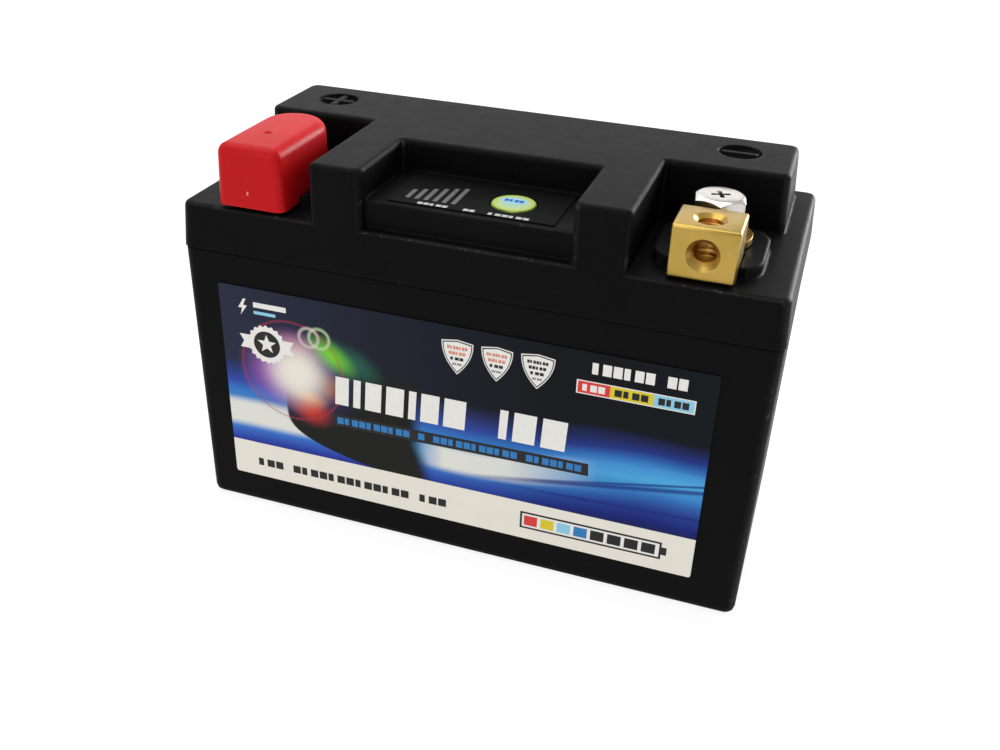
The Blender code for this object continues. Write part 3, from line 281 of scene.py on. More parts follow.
def black_plastic(name, dark, light, grain, roughness):
    """Moulded plastic with a fine spark-eroded grain, faint flow marks and paler edges: partly edge wear,
    partly a painted highlight on the rounded edges.
    """
    look = Look(name, specular=0.045)
    cloud = look.noise(45.0, 4.0, distortion=0.4)
    speck = look.noise(900.0, 2.0)
    base = look.mix(look.span(cloud, 0.35, 0.65), dark, light)
    base = look.mix(look.span(speck, 0.55, 0.8, 0.0, 0.25), base, tuple(value * 2.2 for value in light))
    edges = look.math("MAXIMUM", look.edge_mask(0.0006, 3.0), look.rounded_mask())
    # Paler edges, set by the bevel and by normals leaning off the axes: partly edge wear, partly a painted
    # highlight on rounded and bevelled edges.
    edge_wear_and_highlight = look.times(edges, look.span(cloud, 0.3, 0.7, 0.05, 0.25))
    base = look.mix(edge_wear_and_highlight, base, (0.045, 0.045, 0.047))
    worn = look.span(look.noise(520.0, 3.0, distortion=0.8), 0.60, 0.70, 0.0, 0.4)
    chips = look.times(edges, worn)
    look.set("Base Color", look.mix(chips, base, (0.085, 0.085, 0.087)))
    look.set("Roughness", look.uneven(320.0, roughness - 0.025, roughness + 0.025))
    height = look.sum(look.times(look.noise(grain, 2.0), 0.7), look.times(look.cells(grain * 0.6), 0.3))
    look.bump(height, 0.00005, 0.5, look.soft_edges(0.0010))
    return look.material


def red_plastic():
    """Soft red plastic: slightly cloudy, with a satin surface and fine scuffs."""
    look = Look("red_soft_plastic", specular=0.095)
    cloud = look.noise(70.0, 3.0)
    base = look.mix(look.span(cloud, 0.3, 0.7), (0.42, 0.0040, 0.0062), (0.47, 0.0060, 0.0086))
    # Lighter red along the edges: a painted highlight.
    edge = look.times(look.edge_mask(0.0006, 2.0), 0.2)
    look.set("Base Color", look.mix(edge, base, (0.70, 0.06, 0.06)))
    look.set("Roughness", look.uneven(500.0, 0.38, 0.44, 4.0))
    look.bump(look.noise(1500.0, 2.0), 0.00003, 0.35)
    return look.material


def machined_metal(name, dark, light, roughness, grooves, stain, tarnish, painted_hollow=None):
    """Bright metal with fine cutting lines, slightly uneven colour and, when given, a colour painted down
    its holes in place of the light there.
    """
    look = Look(name, metallic=1.0)
    cloud = look.noise(160.0, 4.0, distortion=0.6)
    base = look.mix(look.span(cloud, 0.3, 0.7), dark, light)
    spots = look.span(look.noise(420.0, 3.0), 0.58, 0.75, 0.0, stain)
    base = look.mix(spots, base, tarnish)
    # Colour painted into the holes by an occlusion mask, standing in for the light and shade there.
    if painted_hollow:
        tint, distance = painted_hollow
        base = look.mix(look.hollow_mask(distance, 0.80, 0.45), base, tint)
    look.set("Base Color", base)
    lines = look.noise(260.0, 3.0, look.stretched(grooves))
    look.set("Roughness", look.span(lines, 0.3, 0.7, roughness * 0.86, roughness * 1.14))
    look.bump(lines, 0.00002, 0.20, look.soft_edges(0.00018))
    return look.material


def printed(name, colour):
    """Ink on film: an even colour with a little screen-print mottle and a faint orange peel."""
    look = Look(name, specular=0.2)
    mottle = look.noise(900.0, 2.0)
    pale = tuple(min(1.0, value * 1.01 + 0.001) for value in colour)
    dull = tuple(value * 0.97 for value in colour)
    look.set("Base Color", look.mix(look.span(mottle, 0.35, 0.65), dull, pale))
    look.set("Roughness", look.uneven(500.0, 0.37, 0.47))
    look.bump(look.noise(700.0, 2.0), 0.00001, 0.3)
    return look.material


def label_horizon(look, x, z):
    """The blue glow over a curved horizon: the colour by the height above its middle line."""
    middle = look.span(x, 0.0, 50.0, 27.2, 33.8, smooth=True)
    wave = look.span(look.noise(30.0, 3.0, look.stretched((0.3, 1.0, 1.0))), 0.3, 0.7, -1.2, 1.2)
    height = look.sum(look.minus(z, middle), wave)
    above = look.math("DIVIDE", look.math("MAXIMUM", height, 0.0), look.span(x, 10.0, 50.0, 14.5, 10.0))
    below = look.math("DIVIDE", look.math("MINIMUM", height, 0.0), look.span(x, 0.0, 50.0, 10.5, 15.0))
    night = look.ramp(
        look.span(x, -60.0, 56.0),
        [
            (0.0, (0.017, 0.021, 0.043)),
            (0.4, (0.008, 0.010, 0.020)),
            (0.7, (0.003, 0.004, 0.006)),
            (1.0, (0.003, 0.005, 0.007)),
        ],
    )
    level = look.span(look.sum(above, below), -1.0, 1.0)
    glow = look.ramp(
        level,
        [
            (0.0, (0.012, 0.020, 0.10)),
            (0.10, (0.018, 0.038, 0.30)),
            (0.22, (0.034, 0.110, 0.45)),
            (0.34, (0.045, 0.240, 0.60)),
            (0.46, (0.070, 0.370, 0.68)),
            (0.57, (0.060, 0.300, 0.64)),
            (0.68, (0.036, 0.190, 0.53)),
            (0.77, (0.032, 0.070, 0.35)),
            (0.88, (0.020, 0.030, 0.12)),
            (1.0, (0.013, 0.016, 0.035)),
        ],
    )
    wisp = look.noise(120.0, 4.0, look.stretched((0.12, 1.0, 1.0)), 0.3)
    glow = look.mix(look.span(wisp, 0.35, 0.65, 0.0, 0.32), glow, (0.012, 0.035, 0.24))
    deep = look.ramp(
        level,
        [
            (0.0, (0.42, 0.40, 0.50)),
            (0.22, (0.50, 0.50, 0.62)),
            (0.36, (0.95, 0.95, 0.95)),
            (0.60, (0.95, 0.95, 0.95)),
            (0.78, (0.50, 0.50, 0.60)),
            (1.0, (0.45, 0.45, 0.45)),
        ],
    )
    fading = look.mix(look.span(x, -15.0, 25.0, smooth=True), (1.0, 1.0, 1.0), deep)
    glow = look.mix(1.0, glow, fading, "MULTIPLY")
    base = look.mix(look.span(above, 0.8, 1.0, smooth=True), glow, night)
    bright = look.ramp(
        look.span(x, -60.0, 56.0),
        [(0.0, 1.0), (0.22, 1.0), (0.36, 0.0), (0.43, 0.0), (0.49, 1.0)]
        + [(0.62, 0.95), (0.70, 0.5), (0.80, 0.0), (1.0, 0.0)],
    )
    core = look.span(look.math("ABSOLUTE", look.sum(height, 0.6)), 4.6, 2.0, smooth=True)
    return look.mix(look.times(core, bright), base, (0.66, 0.66, 0.60))


def label_shadow_hill(look, x, z):
    """The dark slope in front of the glow, sharp on its left edge and soft on its right."""
    drop = look.math("DIVIDE", look.minus(31.5, z), 13.1, clamp=True)
    left = look.sum(look.times(look.math("POWER", drop, 3.2), 24.0), -43.0)
    inside_left = look.span(look.minus(x, left), -0.15, 0.35)
    fall = look.math("DIVIDE", look.minus(z, 18.5), 9.0, clamp=True)
    right = look.sum(look.times(look.math("POWER", fall, 1.5), -2.5), -7.0)
    inside_right = look.span(look.minus(right, x), -2.0, 2.4, smooth=True)
    under = look.span(z, 47.0, 42.0, smooth=True)
    side = look.times(inside_left, inside_right)
    return look.times(side, under)


def label_base():
    """The printed film of the front label: dark sky, glowing horizon, light burst and white foot band."""
    look = Look("label_film", specular=0.09)
    x, _, z = look.axes()
    base = label_horizon(look, x, z)
    for slope, level, width, start in (
        (0.170, 22.3, 0.55, 0.0),
        (0.205, 21.9, 0.30, 14.0),
        (0.045, 22.0, 0.35, 6.0),
    ):
        line = look.sum(look.times(x, slope), level)
        near = look.span(look.math("ABSOLUTE", look.minus(z, line)), width * 1.6, width * 0.4)
        streak = look.times(near, look.span(x, start, start + 22.0, 0.0, 0.8))
        base = look.mix(streak, base, (0.010, 0.022, 0.17))
    base = look.mix(label_shadow_hill(look, x, z), base, (0.010, 0.0105, 0.009))
    burst = (-39.4, 40.6)
    for centre, size, turn, colour, weight in (
        (burst, (19.0, 15.0), 0.0, (0.050, 0.055, 0.26), 0.75),
        ((-44.0, 40.2), (12.0, 12.0), 0.0, (0.40, 0.12, 0.46), 0.80),
        ((-40.0, 47.6), (9.0, 5.5), -0.1, (0.50, 0.16, 0.30), 0.65),
        ((-25.2, 46.3), (10.0, 5.0), -0.5, (0.02, 0.12, 0.075), 0.8),
        ((-30.6, 47.2), (8.6, 4.4), -0.62, (0.15, 0.52, 0.03), 1.0),
        ((-31.5, 38.4), (5.4, 5.2), 0.2, (0.26, 0.05, 0.02), 0.9),
        ((-36.4, 31.6), (6.8, 5.4), -0.35, (0.50, 0.030, 0.012), 1.0),
        ((-37.2, 35.2), (6.0, 3.2), -0.3, (0.72, 0.24, 0.07), 0.85),
        (burst, (11.4, 11.6), 0.0, (0.74, 0.68, 0.58), 1.0),
        ((-39.9, 40.8), (8.6, 8.4), 0.0, (0.74, 0.70, 0.62), 1.0),
    ):
        mask = look.times(look.spot(x, z, centre, size, turn), weight)
        base = look.mix(mask, base, colour)
    for centre, radius, width, colour, weight in (
        ((-40.9, 41.0), 12.9, 0.26, (0.36, 0.035, 0.06), 0.50),
        ((-33.6, 51.0), 2.5, 0.34, (0.48, 0.62, 0.34), 0.75),
        ((-36.2, 50.8), 2.4, 0.34, (0.62, 0.56, 0.50), 0.70),
    ):
        away = look.math("ABSOLUTE", look.minus(look.reach(x, z, centre), radius))
        ring = look.span(away, width * 1.8, 0.0, 0.0, weight)
        base = look.mix(ring, base, colour)
    edge = look.sum(look.times(x, PRINT_RISE), BAND_TOP)
    band = look.span(look.minus(edge, z), -0.05, 0.05)
    mottle = look.uneven(260.0, 0.0, 0.3)
    paper = look.mix(mottle, (0.72, 0.685, 0.605), (0.68, 0.645, 0.565))
    base = look.mix(band, base, paper)
    look.set("Base Color", base)
    look.set("Roughness", look.uneven(420.0, 0.38, 0.50))
    look.bump(look.noise(650.0, 3.0), 0.000012, 0.35)
    return look.material


def overlay_film():
    """The black film over the display: satin, with a fine texture."""
    look = Look("overlay_film", specular=0.042)
    base = look.mix(look.noise(80.0, 3.0), (0.0022, 0.0022, 0.0025), (0.0036, 0.0036, 0.0040))
    look.set("Base Color", base)
    look.set("Roughness", look.uneven(380.0, 0.50, 0.58))
    look.bump(look.noise(2600.0, 2.0), 0.00002, 0.4)
    return look.material


def button_film(centre):
    """The round button: a yellow-green field that pales towards the middle, with a thin dark rim."""
    look = Look("button_film", specular=0.2)
    x, y, _ = look.axes()
    reach = look.reach(x, y, centre)
    tint = look.uneven(500.0, -0.12, 0.12, 2.0)
    stops = [
        (0.0, (0.33, 0.52, 0.42)),
        (0.42, (0.36, 0.52, 0.36)),
        (0.62, (0.42, 0.54, 0.26)),
        (0.84, (0.40, 0.50, 0.14)),
        (0.93, (0.30, 0.40, 0.05)),
        (1.0, (0.03, 0.045, 0.006)),
    ]
    look.set("Base Color", look.ramp(look.span(look.sum(reach, tint), 0.0, 4.9), stops))
    look.set("Roughness", look.uneven(450.0, 0.34, 0.48))
    look.bump(look.noise(1800.0, 2.0), 0.00001, 0.3)
    return look.material


def circuit_board():
    """Green solder mask over faint copper tracks."""
    look = Look("circuit_board", specular=0.5)
    tracks = look.node(
        "ShaderNodeTexBrick",
        {
            "Vector": look.place,
            "Scale": 180.0,
            "Mortar Size": 0.035,
            "Color1": (0.0,) * 3,
            "Color2": (0.0,) * 3,
        },
    ).outputs["Fac"]
    cloud = look.noise(90.0, 3.0)
    base = look.mix(look.span(cloud, 0.3, 0.7), (0.010, 0.10, 0.035), (0.016, 0.15, 0.055))
    look.set("Base Color", look.mix(look.times(tracks, 0.6), base, (0.05, 0.26, 0.10)))
    look.set("Roughness", look.uneven(300.0, 0.28, 0.45))
    look.bump(look.times(tracks, -1.0), 0.00003, 0.4)
    return look.material


def foam():
    """Closed-cell foam with visible pores."""
    look = Look("foam", specular=0.2)
    pores = look.cells(1300.0)
    look.set("Base Color", look.mix(look.span(pores, 0.1, 0.6), (0.03, 0.03, 0.032), (0.11, 0.11, 0.115)))
    look.set("Roughness", look.span(pores, 0.1, 0.6, 0.98, 0.88))
    look.bump(pores, 0.0001, 0.8)
    return look.material


def small_part(name, dark, light, roughness):
    """Plain moulded or pressed part inside the case, with mottle and a fine grain."""
    look = Look(name)
    cloud = look.noise(220.0, 4.0, distortion=0.4)
    look.set("Base Color", look.mix(look.span(cloud, 0.3, 0.7), dark, light))
    look.set("Roughness", look.uneven(500.0, roughness * 0.85, roughness * 1.15))
    look.bump(look.noise(1600.0, 3.0), 0.00003, 0.4)
    return look.material


def rear_label_film():
    """The rear label: a pale grey film with a dark head band and thin ruled lines."""
    look = Look("rear_label_film", specular=0.35)
    x, _, z = look.axes()
    paper = look.mix(look.noise(60.0, 3.0), (0.50, 0.50, 0.49), (0.60, 0.60, 0.585))
    head = look.span(z, 50.4, 50.5)
    base = look.mix(head, paper, (0.02, 0.05, 0.15))
    rule = look.math("LESS_THAN", look.math("PINGPONG", look.sum(z, 0.2), 3.1), 0.12)
    beside = look.math("LESS_THAN", look.math("ABSOLUTE", x), 46.0)
    below = look.math("LESS_THAN", z, 47.0)
    above = look.math("GREATER_THAN", z, 14.0)
    lines = look.times(look.times(rule, look.times(beside, below)), above)
    look.set("Base Color", look.mix(lines, base, (0.10, 0.10, 0.11)))
    look.set("Roughness", look.uneven(420.0, 0.40, 0.52))
    look.bump(look.noise(650.0, 3.0), 0.000012, 0.35)
    return look.material


BUTTON_LOW, BUTTON_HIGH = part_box("test_button")
BUTTON_CENTRE = (BUTTON_LOW + BUTTON_HIGH) / 2

LOOKS = {
    "case_black": black_plastic(
        "case_plastic", (0.0022, 0.0022, 0.0024), (0.0031, 0.0031, 0.0033), 2600.0, 0.46
    ),
    "bead_black": black_plastic(
        "bead_plastic", (0.0004, 0.0004, 0.0004), (0.0010, 0.0010, 0.0010), 3000.0, 0.7
    ),
    "cap_red": red_plastic(),
    # The brass's tint down its holes is a painted warmer reflection.
    "brass": machined_metal(
        "machined_brass", (0.405, 0.27, 0.060), (0.455, 0.305, 0.074), 0.32, (1.0, 1.0, 9.0),
        0.10, (0.34, 0.20, 0.045), ((0.80, 0.34, 0.075), 3.0 * MM),
    ),
    # The plating's dark tint down the bolt's cross recess is painted shade.
    "zinc_plate": machined_metal(
        "bright_plating", (0.52, 0.49, 0.45), (0.66, 0.63, 0.59), 0.20, (1.0, 1.0, 4.0),
        0.2, (0.38, 0.35, 0.32), ((0.05, 0.045, 0.04), 1.2 * MM),
    ),
    "copper": machined_metal(
        "rolled_copper", (0.70, 0.30, 0.17), (0.80, 0.40, 0.25), 0.34,
        (1.0, 8.0, 1.0), 0.3, (0.30, 0.11, 0.06),
    ),
    "cell_aluminium": machined_metal(
        "laminate_foil", (0.58, 0.59, 0.60), (0.70, 0.71, 0.72), 0.38,
        (6.0, 1.0, 1.0), 0.15, (0.4, 0.4, 0.42),
    ),
    "tab_nickel": machined_metal(
        "nickel_tab", (0.55, 0.53, 0.49), (0.66, 0.64, 0.60), 0.3,
        (1.0, 1.0, 6.0), 0.2, (0.35, 0.33, 0.3),
    ),
    "label_print": label_base(),
    "rear_print": rear_label_film(),
    "overlay_black": overlay_film(),
    "button_green": button_film((BUTTON_CENTRE.x / MM, BUTTON_CENTRE.y / MM)),
    "foam_grey": foam(),
    "board_green": circuit_board(),
    "chip_black": small_part("chip_moulding", (0.010, 0.010, 0.010), (0.020, 0.020, 0.021), 0.5),
    "connector_white": small_part("nylon_moulding", (0.60, 0.58, 0.50), (0.70, 0.68, 0.60), 0.5),
    "led_lens": small_part("clear_lens", (0.60, 0.66, 0.58), (0.72, 0.78, 0.68), 0.22),
    "cable_grey": small_part("cable_insulation", (0.24, 0.24, 0.25), (0.32, 0.32, 0.33), 0.5),
}
INK = {
    "white": printed("ink_white", (0.72, 0.705, 0.665)),
    "black": printed("ink_black", (0.012, 0.012, 0.013)),
    "red": printed("ink_red", (0.60, 0.035, 0.03)),
    "yellow": printed("ink_yellow", (0.62, 0.50, 0.02)),
    "pale_blue": printed("ink_pale_blue", (0.24, 0.52, 0.68)),
    "blue": printed("ink_blue", (0.022, 0.17, 0.43)),
    "grey": printed("ink_grey", (0.16, 0.16, 0.16)),
    "salmon": printed("ink_salmon", (0.60, 0.22, 0.15)),
    "film_grey": printed("ink_film_grey", (0.11, 0.11, 0.11)),
    "film_white": printed("ink_film_white", (0.42, 0.42, 0.41)),
    "button_blue": printed("ink_button_blue", (0.02, 0.13, 0.36)),
    "button_pale": printed("ink_button_pale", (0.30, 0.55, 0.72)),
}
NODE_SLOTS = {part["node"]: part["material_slot"] for part in frame["record"]["subparts"]}


def dress_nodes():
    """Gives every node of the frame the material of its slot."""
    for name, obj in frame["nodes"].items():
        look = LOOKS[NODE_SLOTS[name]]
        for material_slot in obj.material_slots:
            material_slot.material = look


# ---------------------------------------------------------------- mesh helpers


def mesh_object(name, bm, materials):
    mesh = bpy.data.meshes.new(name)
    bm.to_mesh(mesh)
    bm.free()
    for material in materials:
        mesh.materials.append(material)
    obj = bpy.data.objects.new(name, mesh)
    bpy.context.scene.collection.objects.link(obj)
    return obj


def apply_modifiers(obj):
    bpy.context.view_layer.update()
    graph = bpy.context.evaluated_depsgraph_get()
    mesh = bpy.data.meshes.new_from_object(obj.evaluated_get(graph))
    obj.modifiers.clear()
    obj.data = mesh


def shade(obj, degrees=32.0):
    obj.data.shade_smooth()
    obj.data.set_sharp_from_angle(angle=math.radians(degrees))
    return obj


def combine(obj, other, operation):
    boolean = obj.modifiers.new(operation.lower(), "BOOLEAN")
    boolean.operation = operation
    boolean.object = other
    boolean.solver = "EXACT"
    apply_modifiers(obj)
    bpy.data.objects.remove(other)


def block(name, low, high, bevel=0.0):
    """A box between two corners, with rounded edges."""
    low, high = Vector(low), Vector(high)
    bm = bmesh.new()
    bmesh.ops.create_cube(bm, size=1.0)
    bmesh.ops.scale(bm, vec=high - low, verts=bm.verts)
    bmesh.ops.translate(bm, vec=(low + high) / 2, verts=bm.verts)
    if bevel > 0.0:
        bmesh.ops.bevel(bm, geom=bm.edges, offset=bevel, segments=3, profile=0.5, affect="EDGES")
    return mesh_object(name, bm, [])


def paint(piece, material):
    """Gives the whole piece one material in place of what the booleans left."""
    piece.data.materials.clear()
    piece.data.materials.append(material)


def join_rings(bm, lower, upper):
    """A band of faces between two closed rings with as many points as each other."""
    faces = []
    for index in range(len(lower)):
        after = (index + 1) % len(lower)
        faces.append(bm.faces.new((lower[index], lower[after], upper[after], upper[index])))
    return faces


def turned(name, profile, steps=RING_STEPS):
    """A closed body turned about Z from (radius, height) points that start and end on the axis."""
    bm = bmesh.new()
    rings = []
    for radius, height in profile:
        if radius == 0.0:
            rings.append([bm.verts.new((0.0, 0.0, height))])
            continue
        ring = []
        for step in range(steps):
            angle = 2.0 * math.pi * step / steps
            ring.append(bm.verts.new((radius * math.cos(angle), radius * math.sin(angle), height)))
        rings.append(ring)
    for upper, lower in zip(rings, rings[1:]):
        for step in range(steps):
            after = (step + 1) % steps
            corners = [upper[step % len(upper)], lower[step % len(lower)]]
            if len(lower) > 1:
                corners.append(lower[after])
            if len(upper) > 1:
                corners.append(upper[after])
            bm.faces.new(corners)
    bmesh.ops.recalc_face_normals(bm, faces=bm.faces)
    return mesh_object(name, bm, [])


def thread_points(core, crest, start, end):
    """A zigzag of thread grooves between two heights, going down."""
    points = []
    height = start
    while height - PITCH * MM > end:
        points.append((core, height))
        points.append((crest, height - PITCH * MM * 0.44))
        points.append((crest, height - PITCH * MM * 0.56))
        height -= PITCH * MM
    points.append((core, height))
    return points


# ---------------------------------------------------------------- terminal pieces


def threaded_drill(name, depth):
    """The form of a tapped hole: a flared mouth and thread grooves, pointing down from Z 0."""
    core, groove, mouth = HOLE_CORE * MM, HOLE_GROOVE * MM, HOLE_MOUTH * MM
    over = 2.0 * MM
    profile = [(0.0, over), (mouth + over, over), (core, core - mouth)]
    profile += thread_points(core, groove, core - mouth - 0.1 * MM, -depth)
    profile += [(core, -depth), (0.0, -depth - core * 0.6)]
    return turned(name, profile)


def make_block(polarity):
    """The brass block with two tapped holes and its flat tongue under the bolt."""
    node = f"{polarity}_terminal_block"
    low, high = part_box(node)
    bolt_low, bolt_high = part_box(f"{polarity}_terminal_bolt")
    axis = (bolt_low + bolt_high) / 2
    back = low.y + BLOCK_DEPTH * MM
    piece = block(f"{node}_tapped", low, (high.x, back, high.z), BLOCK_BEVEL * MM)
    middle = (low.x + high.x) / 2
    inset = TONGUE_INSET * MM
    bottom, top = (low.z + level * MM for level in TONGUE_LEVELS)
    bar = block("tongue", (low.x + inset, back - inset * 2, bottom), (high.x - inset, axis.y, top))
    combine(piece, bar, "UNION")
    for name, radius, upper, lower, operation in (
        ("end", TONGUE_END * MM, top, bottom, "UNION"),
        ("hole", TONGUE_HOLE * MM, high.z, low.z, "DIFFERENCE"),
    ):
        round_part = turned(name, [(0.0, upper), (radius, upper), (radius, lower), (0.0, lower)])
        round_part.location = (axis.x, axis.y, 0.0)
        combine(piece, round_part, operation)
    top_drill = threaded_drill("top", TOP_HOLE[1] * MM)
    top_drill.location = (middle, low.y + TOP_HOLE[0] * MM, high.z)
    combine(piece, top_drill, "DIFFERENCE")
    front = threaded_drill("front", FRONT_HOLE[1] * MM)
    front.location = (middle, low.y, low.z + FRONT_HOLE[0] * MM)
    front.rotation_euler = (math.radians(90.0), 0.0, 0.0)
    combine(piece, front, "DIFFERENCE")
    paint(piece, LOOKS["brass"])
    shade(piece)
    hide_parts(node)
    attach(piece, "case")


def make_bolt(polarity):
    """The bolt: chamfered hexagon, cross recess with tapered sides and a threaded shank."""
    node = f"{polarity}_terminal_bolt"
    low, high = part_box(node)
    axis = (low + high) / 2
    head_height = HEAD_HEIGHT * MM
    under = high.z - head_height
    corner = HEAD_FLATS * MM / 2 / math.cos(math.pi / 6)
    bm = bmesh.new()
    bmesh.ops.create_cone(
        bm,
        cap_ends=True,
        segments=6,
        radius1=corner,
        radius2=corner,
        depth=head_height,
        matrix=Matrix.Translation((0.0, 0.0, high.z - head_height / 2)),
    )
    piece = mesh_object(f"{node}_threaded", bm, [])
    crown = turned(
        "crown",
        [
            (0.0, high.z),
            (4.35 * MM, high.z),
            (4.7 * MM, high.z - 0.12 * MM),
            (corner + 0.3 * MM, high.z - 0.95 * MM),
            (corner + 0.3 * MM, under - MM),
            (0.0, under - MM),
        ],
    )
    combine(piece, crown, "INTERSECT")
    shank = [(0.0, under + 0.5 * MM), (2.8 * MM, under + 0.5 * MM), (2.8 * MM, under - 1.0 * MM)]
    shank += thread_points(SHANK_CORE * MM, SHANK_CREST * MM, under - 1.2 * MM, low.z + 0.8 * MM)
    shank += [(2.3 * MM, low.z + 0.4 * MM), (2.0 * MM, low.z), (0.0, low.z)]
    combine(piece, turned("shank", shank), "UNION")
    recess_turn = Matrix.Rotation(math.radians(RECESS_TURN), 3, "Z")
    for size in (RECESS_ARM, RECESS_ARM[::-1]):
        bm = bmesh.new()
        bmesh.ops.create_cube(bm, size=2.0)
        for vert in bm.verts:
            share = 1.0 if vert.co.z > 0.0 else RECESS_FOOT
            vert.co.x *= size[0] * MM * share
            vert.co.y *= size[1] * MM * share
            vert.co.z = high.z + (0.5 * MM if vert.co.z > 0.0 else -RECESS_DEPTH * MM)
        bmesh.ops.rotate(bm, cent=(0.0, 0.0, 0.0), matrix=recess_turn, verts=bm.verts)
        combine(piece, mesh_object("recess", bm, []), "DIFFERENCE")
    piece.data.transform(Matrix.Rotation(math.radians(HEAD_TURN), 4, "Z"))
    piece.data.transform(Matrix.Translation((axis.x, axis.y, 0.0)))
    paint(piece, LOOKS["zinc_plate"])
    shade(piece, 28.0)
    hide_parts(node)
    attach(piece, f"{polarity}_bolt")


def make_spring_washer(polarity):
    """A split spring washer: a square-section ring whose two ends stand slightly apart."""
    node = f"{polarity}_spring_washer"
    low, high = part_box(node)
    centre = (low + high) / 2
    inner, outer = 3.2 * MM, (high.y - low.y) / 2
    rise = 0.12 * MM
    bm = bmesh.new()
    steps = RING_STEPS
    opening = math.radians(7.0)
    sections = []
    for step in range(steps + 1):
        share = step / steps
        angle = opening + share * (2.0 * math.pi - 2.0 * opening)
        lift = rise * share
        corners = []
        for radius, height in (
            (inner, low.z + lift),
            (outer, low.z + lift),
            (outer, high.z - rise + lift),
            (inner, high.z - rise + lift),
        ):
            corners.append(bm.verts.new((radius * math.cos(angle), radius * math.sin(angle), height)))
        sections.append(corners)
    for first, second in zip(sections, sections[1:]):
        join_rings(bm, first, second)
    bm.faces.new(sections[0])
    bm.faces.new(sections[-1][::-1])
    bmesh.ops.recalc_face_normals(bm, faces=bm.faces)
    bmesh.ops.translate(bm, vec=(centre.x, centre.y, 0.0), verts=bm.verts)
    piece = shade(mesh_object(f"{node}_split", bm, [LOOKS["zinc_plate"]]))
    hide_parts(node)
    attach(piece, f"{polarity}_washers")


# ---------------------------------------------------------------- red cap


def cap_ring(bm, half, depth, front, back_y, corner, height):
    """One level outline of the cap, seen from above: straight sides, rounded front corners, round back."""
    points = []
    for middle, start in ((corner - half, 180.0), (half - corner, 270.0)):
        for step in range(CAP_CORNER_STEPS + 1):
            angle = math.radians(start + 90.0 * step / CAP_CORNER_STEPS)
            points.append((middle + corner * math.cos(angle), front + corner + corner * math.sin(angle)))
    for step in range(CAP_BACK_STEPS + 1):
        angle = math.pi * step / CAP_BACK_STEPS
        points.append((half * math.cos(angle), back_y + depth * math.sin(angle)))
    return [bm.verts.new((x, y, height)) for x, y in points]


def cap_shell(bm, low, high, inset, roof, rounding):
    """The rings of the cap's outer or inner surface, from its rim up to its roof."""
    bottom_half = (high.x - low.x) / 2
    top_half = bottom_half - CAP_TAPER * MM
    back_y = high.y - top_half
    rings = []
    levels = [(0.0, low.z), (0.0, roof - rounding)]
    for step in range(1, CAP_ROUND_STEPS + 1):
        angle = math.pi / 2 * step / CAP_ROUND_STEPS
        levels.append((rounding * (1.0 - math.cos(angle)), roof - rounding * (1.0 - math.sin(angle))))
    for pulled, height in levels:
        away = inset + pulled
        half = top_half + CAP_TAPER * MM * (high.z - height) / (high.z - low.z) - away
        corner = max(CAP_CORNER * MM - away, 0.12 * MM)
        rings.append(cap_ring(bm, half, top_half - away, low.y + away, back_y, corner, height))
    for lower, upper in zip(rings, rings[1:]):
        join_rings(bm, lower, upper)
    top = bm.faces.new(rings[-1])
    bmesh.ops.inset_region(bm, faces=[top], thickness=0.25 * MM)
    return rings[0]


def make_cap():
    """The red cap over the positive terminal: a thin soft shell with well rounded edges, open below."""
    node = "positive_terminal_cap"
    low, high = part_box(node)
    bm = bmesh.new()
    outer = cap_shell(bm, low, high, 0.0, high.z, CAP_ROUND * MM)
    inner = cap_shell(bm, low, high, CAP_WALL * MM, high.z - CAP_ROOF * MM, CAP_INNER_ROUND * MM)
    join_rings(bm, inner, outer)
    bmesh.ops.recalc_face_normals(bm, faces=bm.faces)
    centre = (low.x + high.x) / 2
    bmesh.ops.translate(bm, vec=(centre, 0.0, 0.0), verts=bm.verts)
    piece = mesh_object(f"{node}_moulded", bm, [])
    _, flange_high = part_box("positive_terminal_insert")
    side = high.x - low.x
    for start, top in ((ARCH_START, low.z + ARCH_TOP * MM), (NOTCH_START, flange_high.z + NOTCH_GAP * MM)):
        near = (centre - side, low.y + start * MM, low.z - MM)
        opening = block("opening", near, (centre + side, high.y + MM, top))
        combine(piece, opening, "DIFFERENCE")
    profile = ((0.0, 0.5), (0.9, 0.5), (0.88, 0.0), (0.6, -0.32), (0.0, -0.38))
    dimple = turned("dimple", [(radius * MM, height * MM) for radius, height in profile], 24)
    dimple.location = (centre - 0.5 * MM, low.y + 10.7 * MM, high.z)
    combine(piece, dimple, "DIFFERENCE")
    paint(piece, LOOKS["cap_red"])
    shade(piece)
    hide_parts(node)
    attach(piece, "terminal_cap")


# ---------------------------------------------------------------- printing


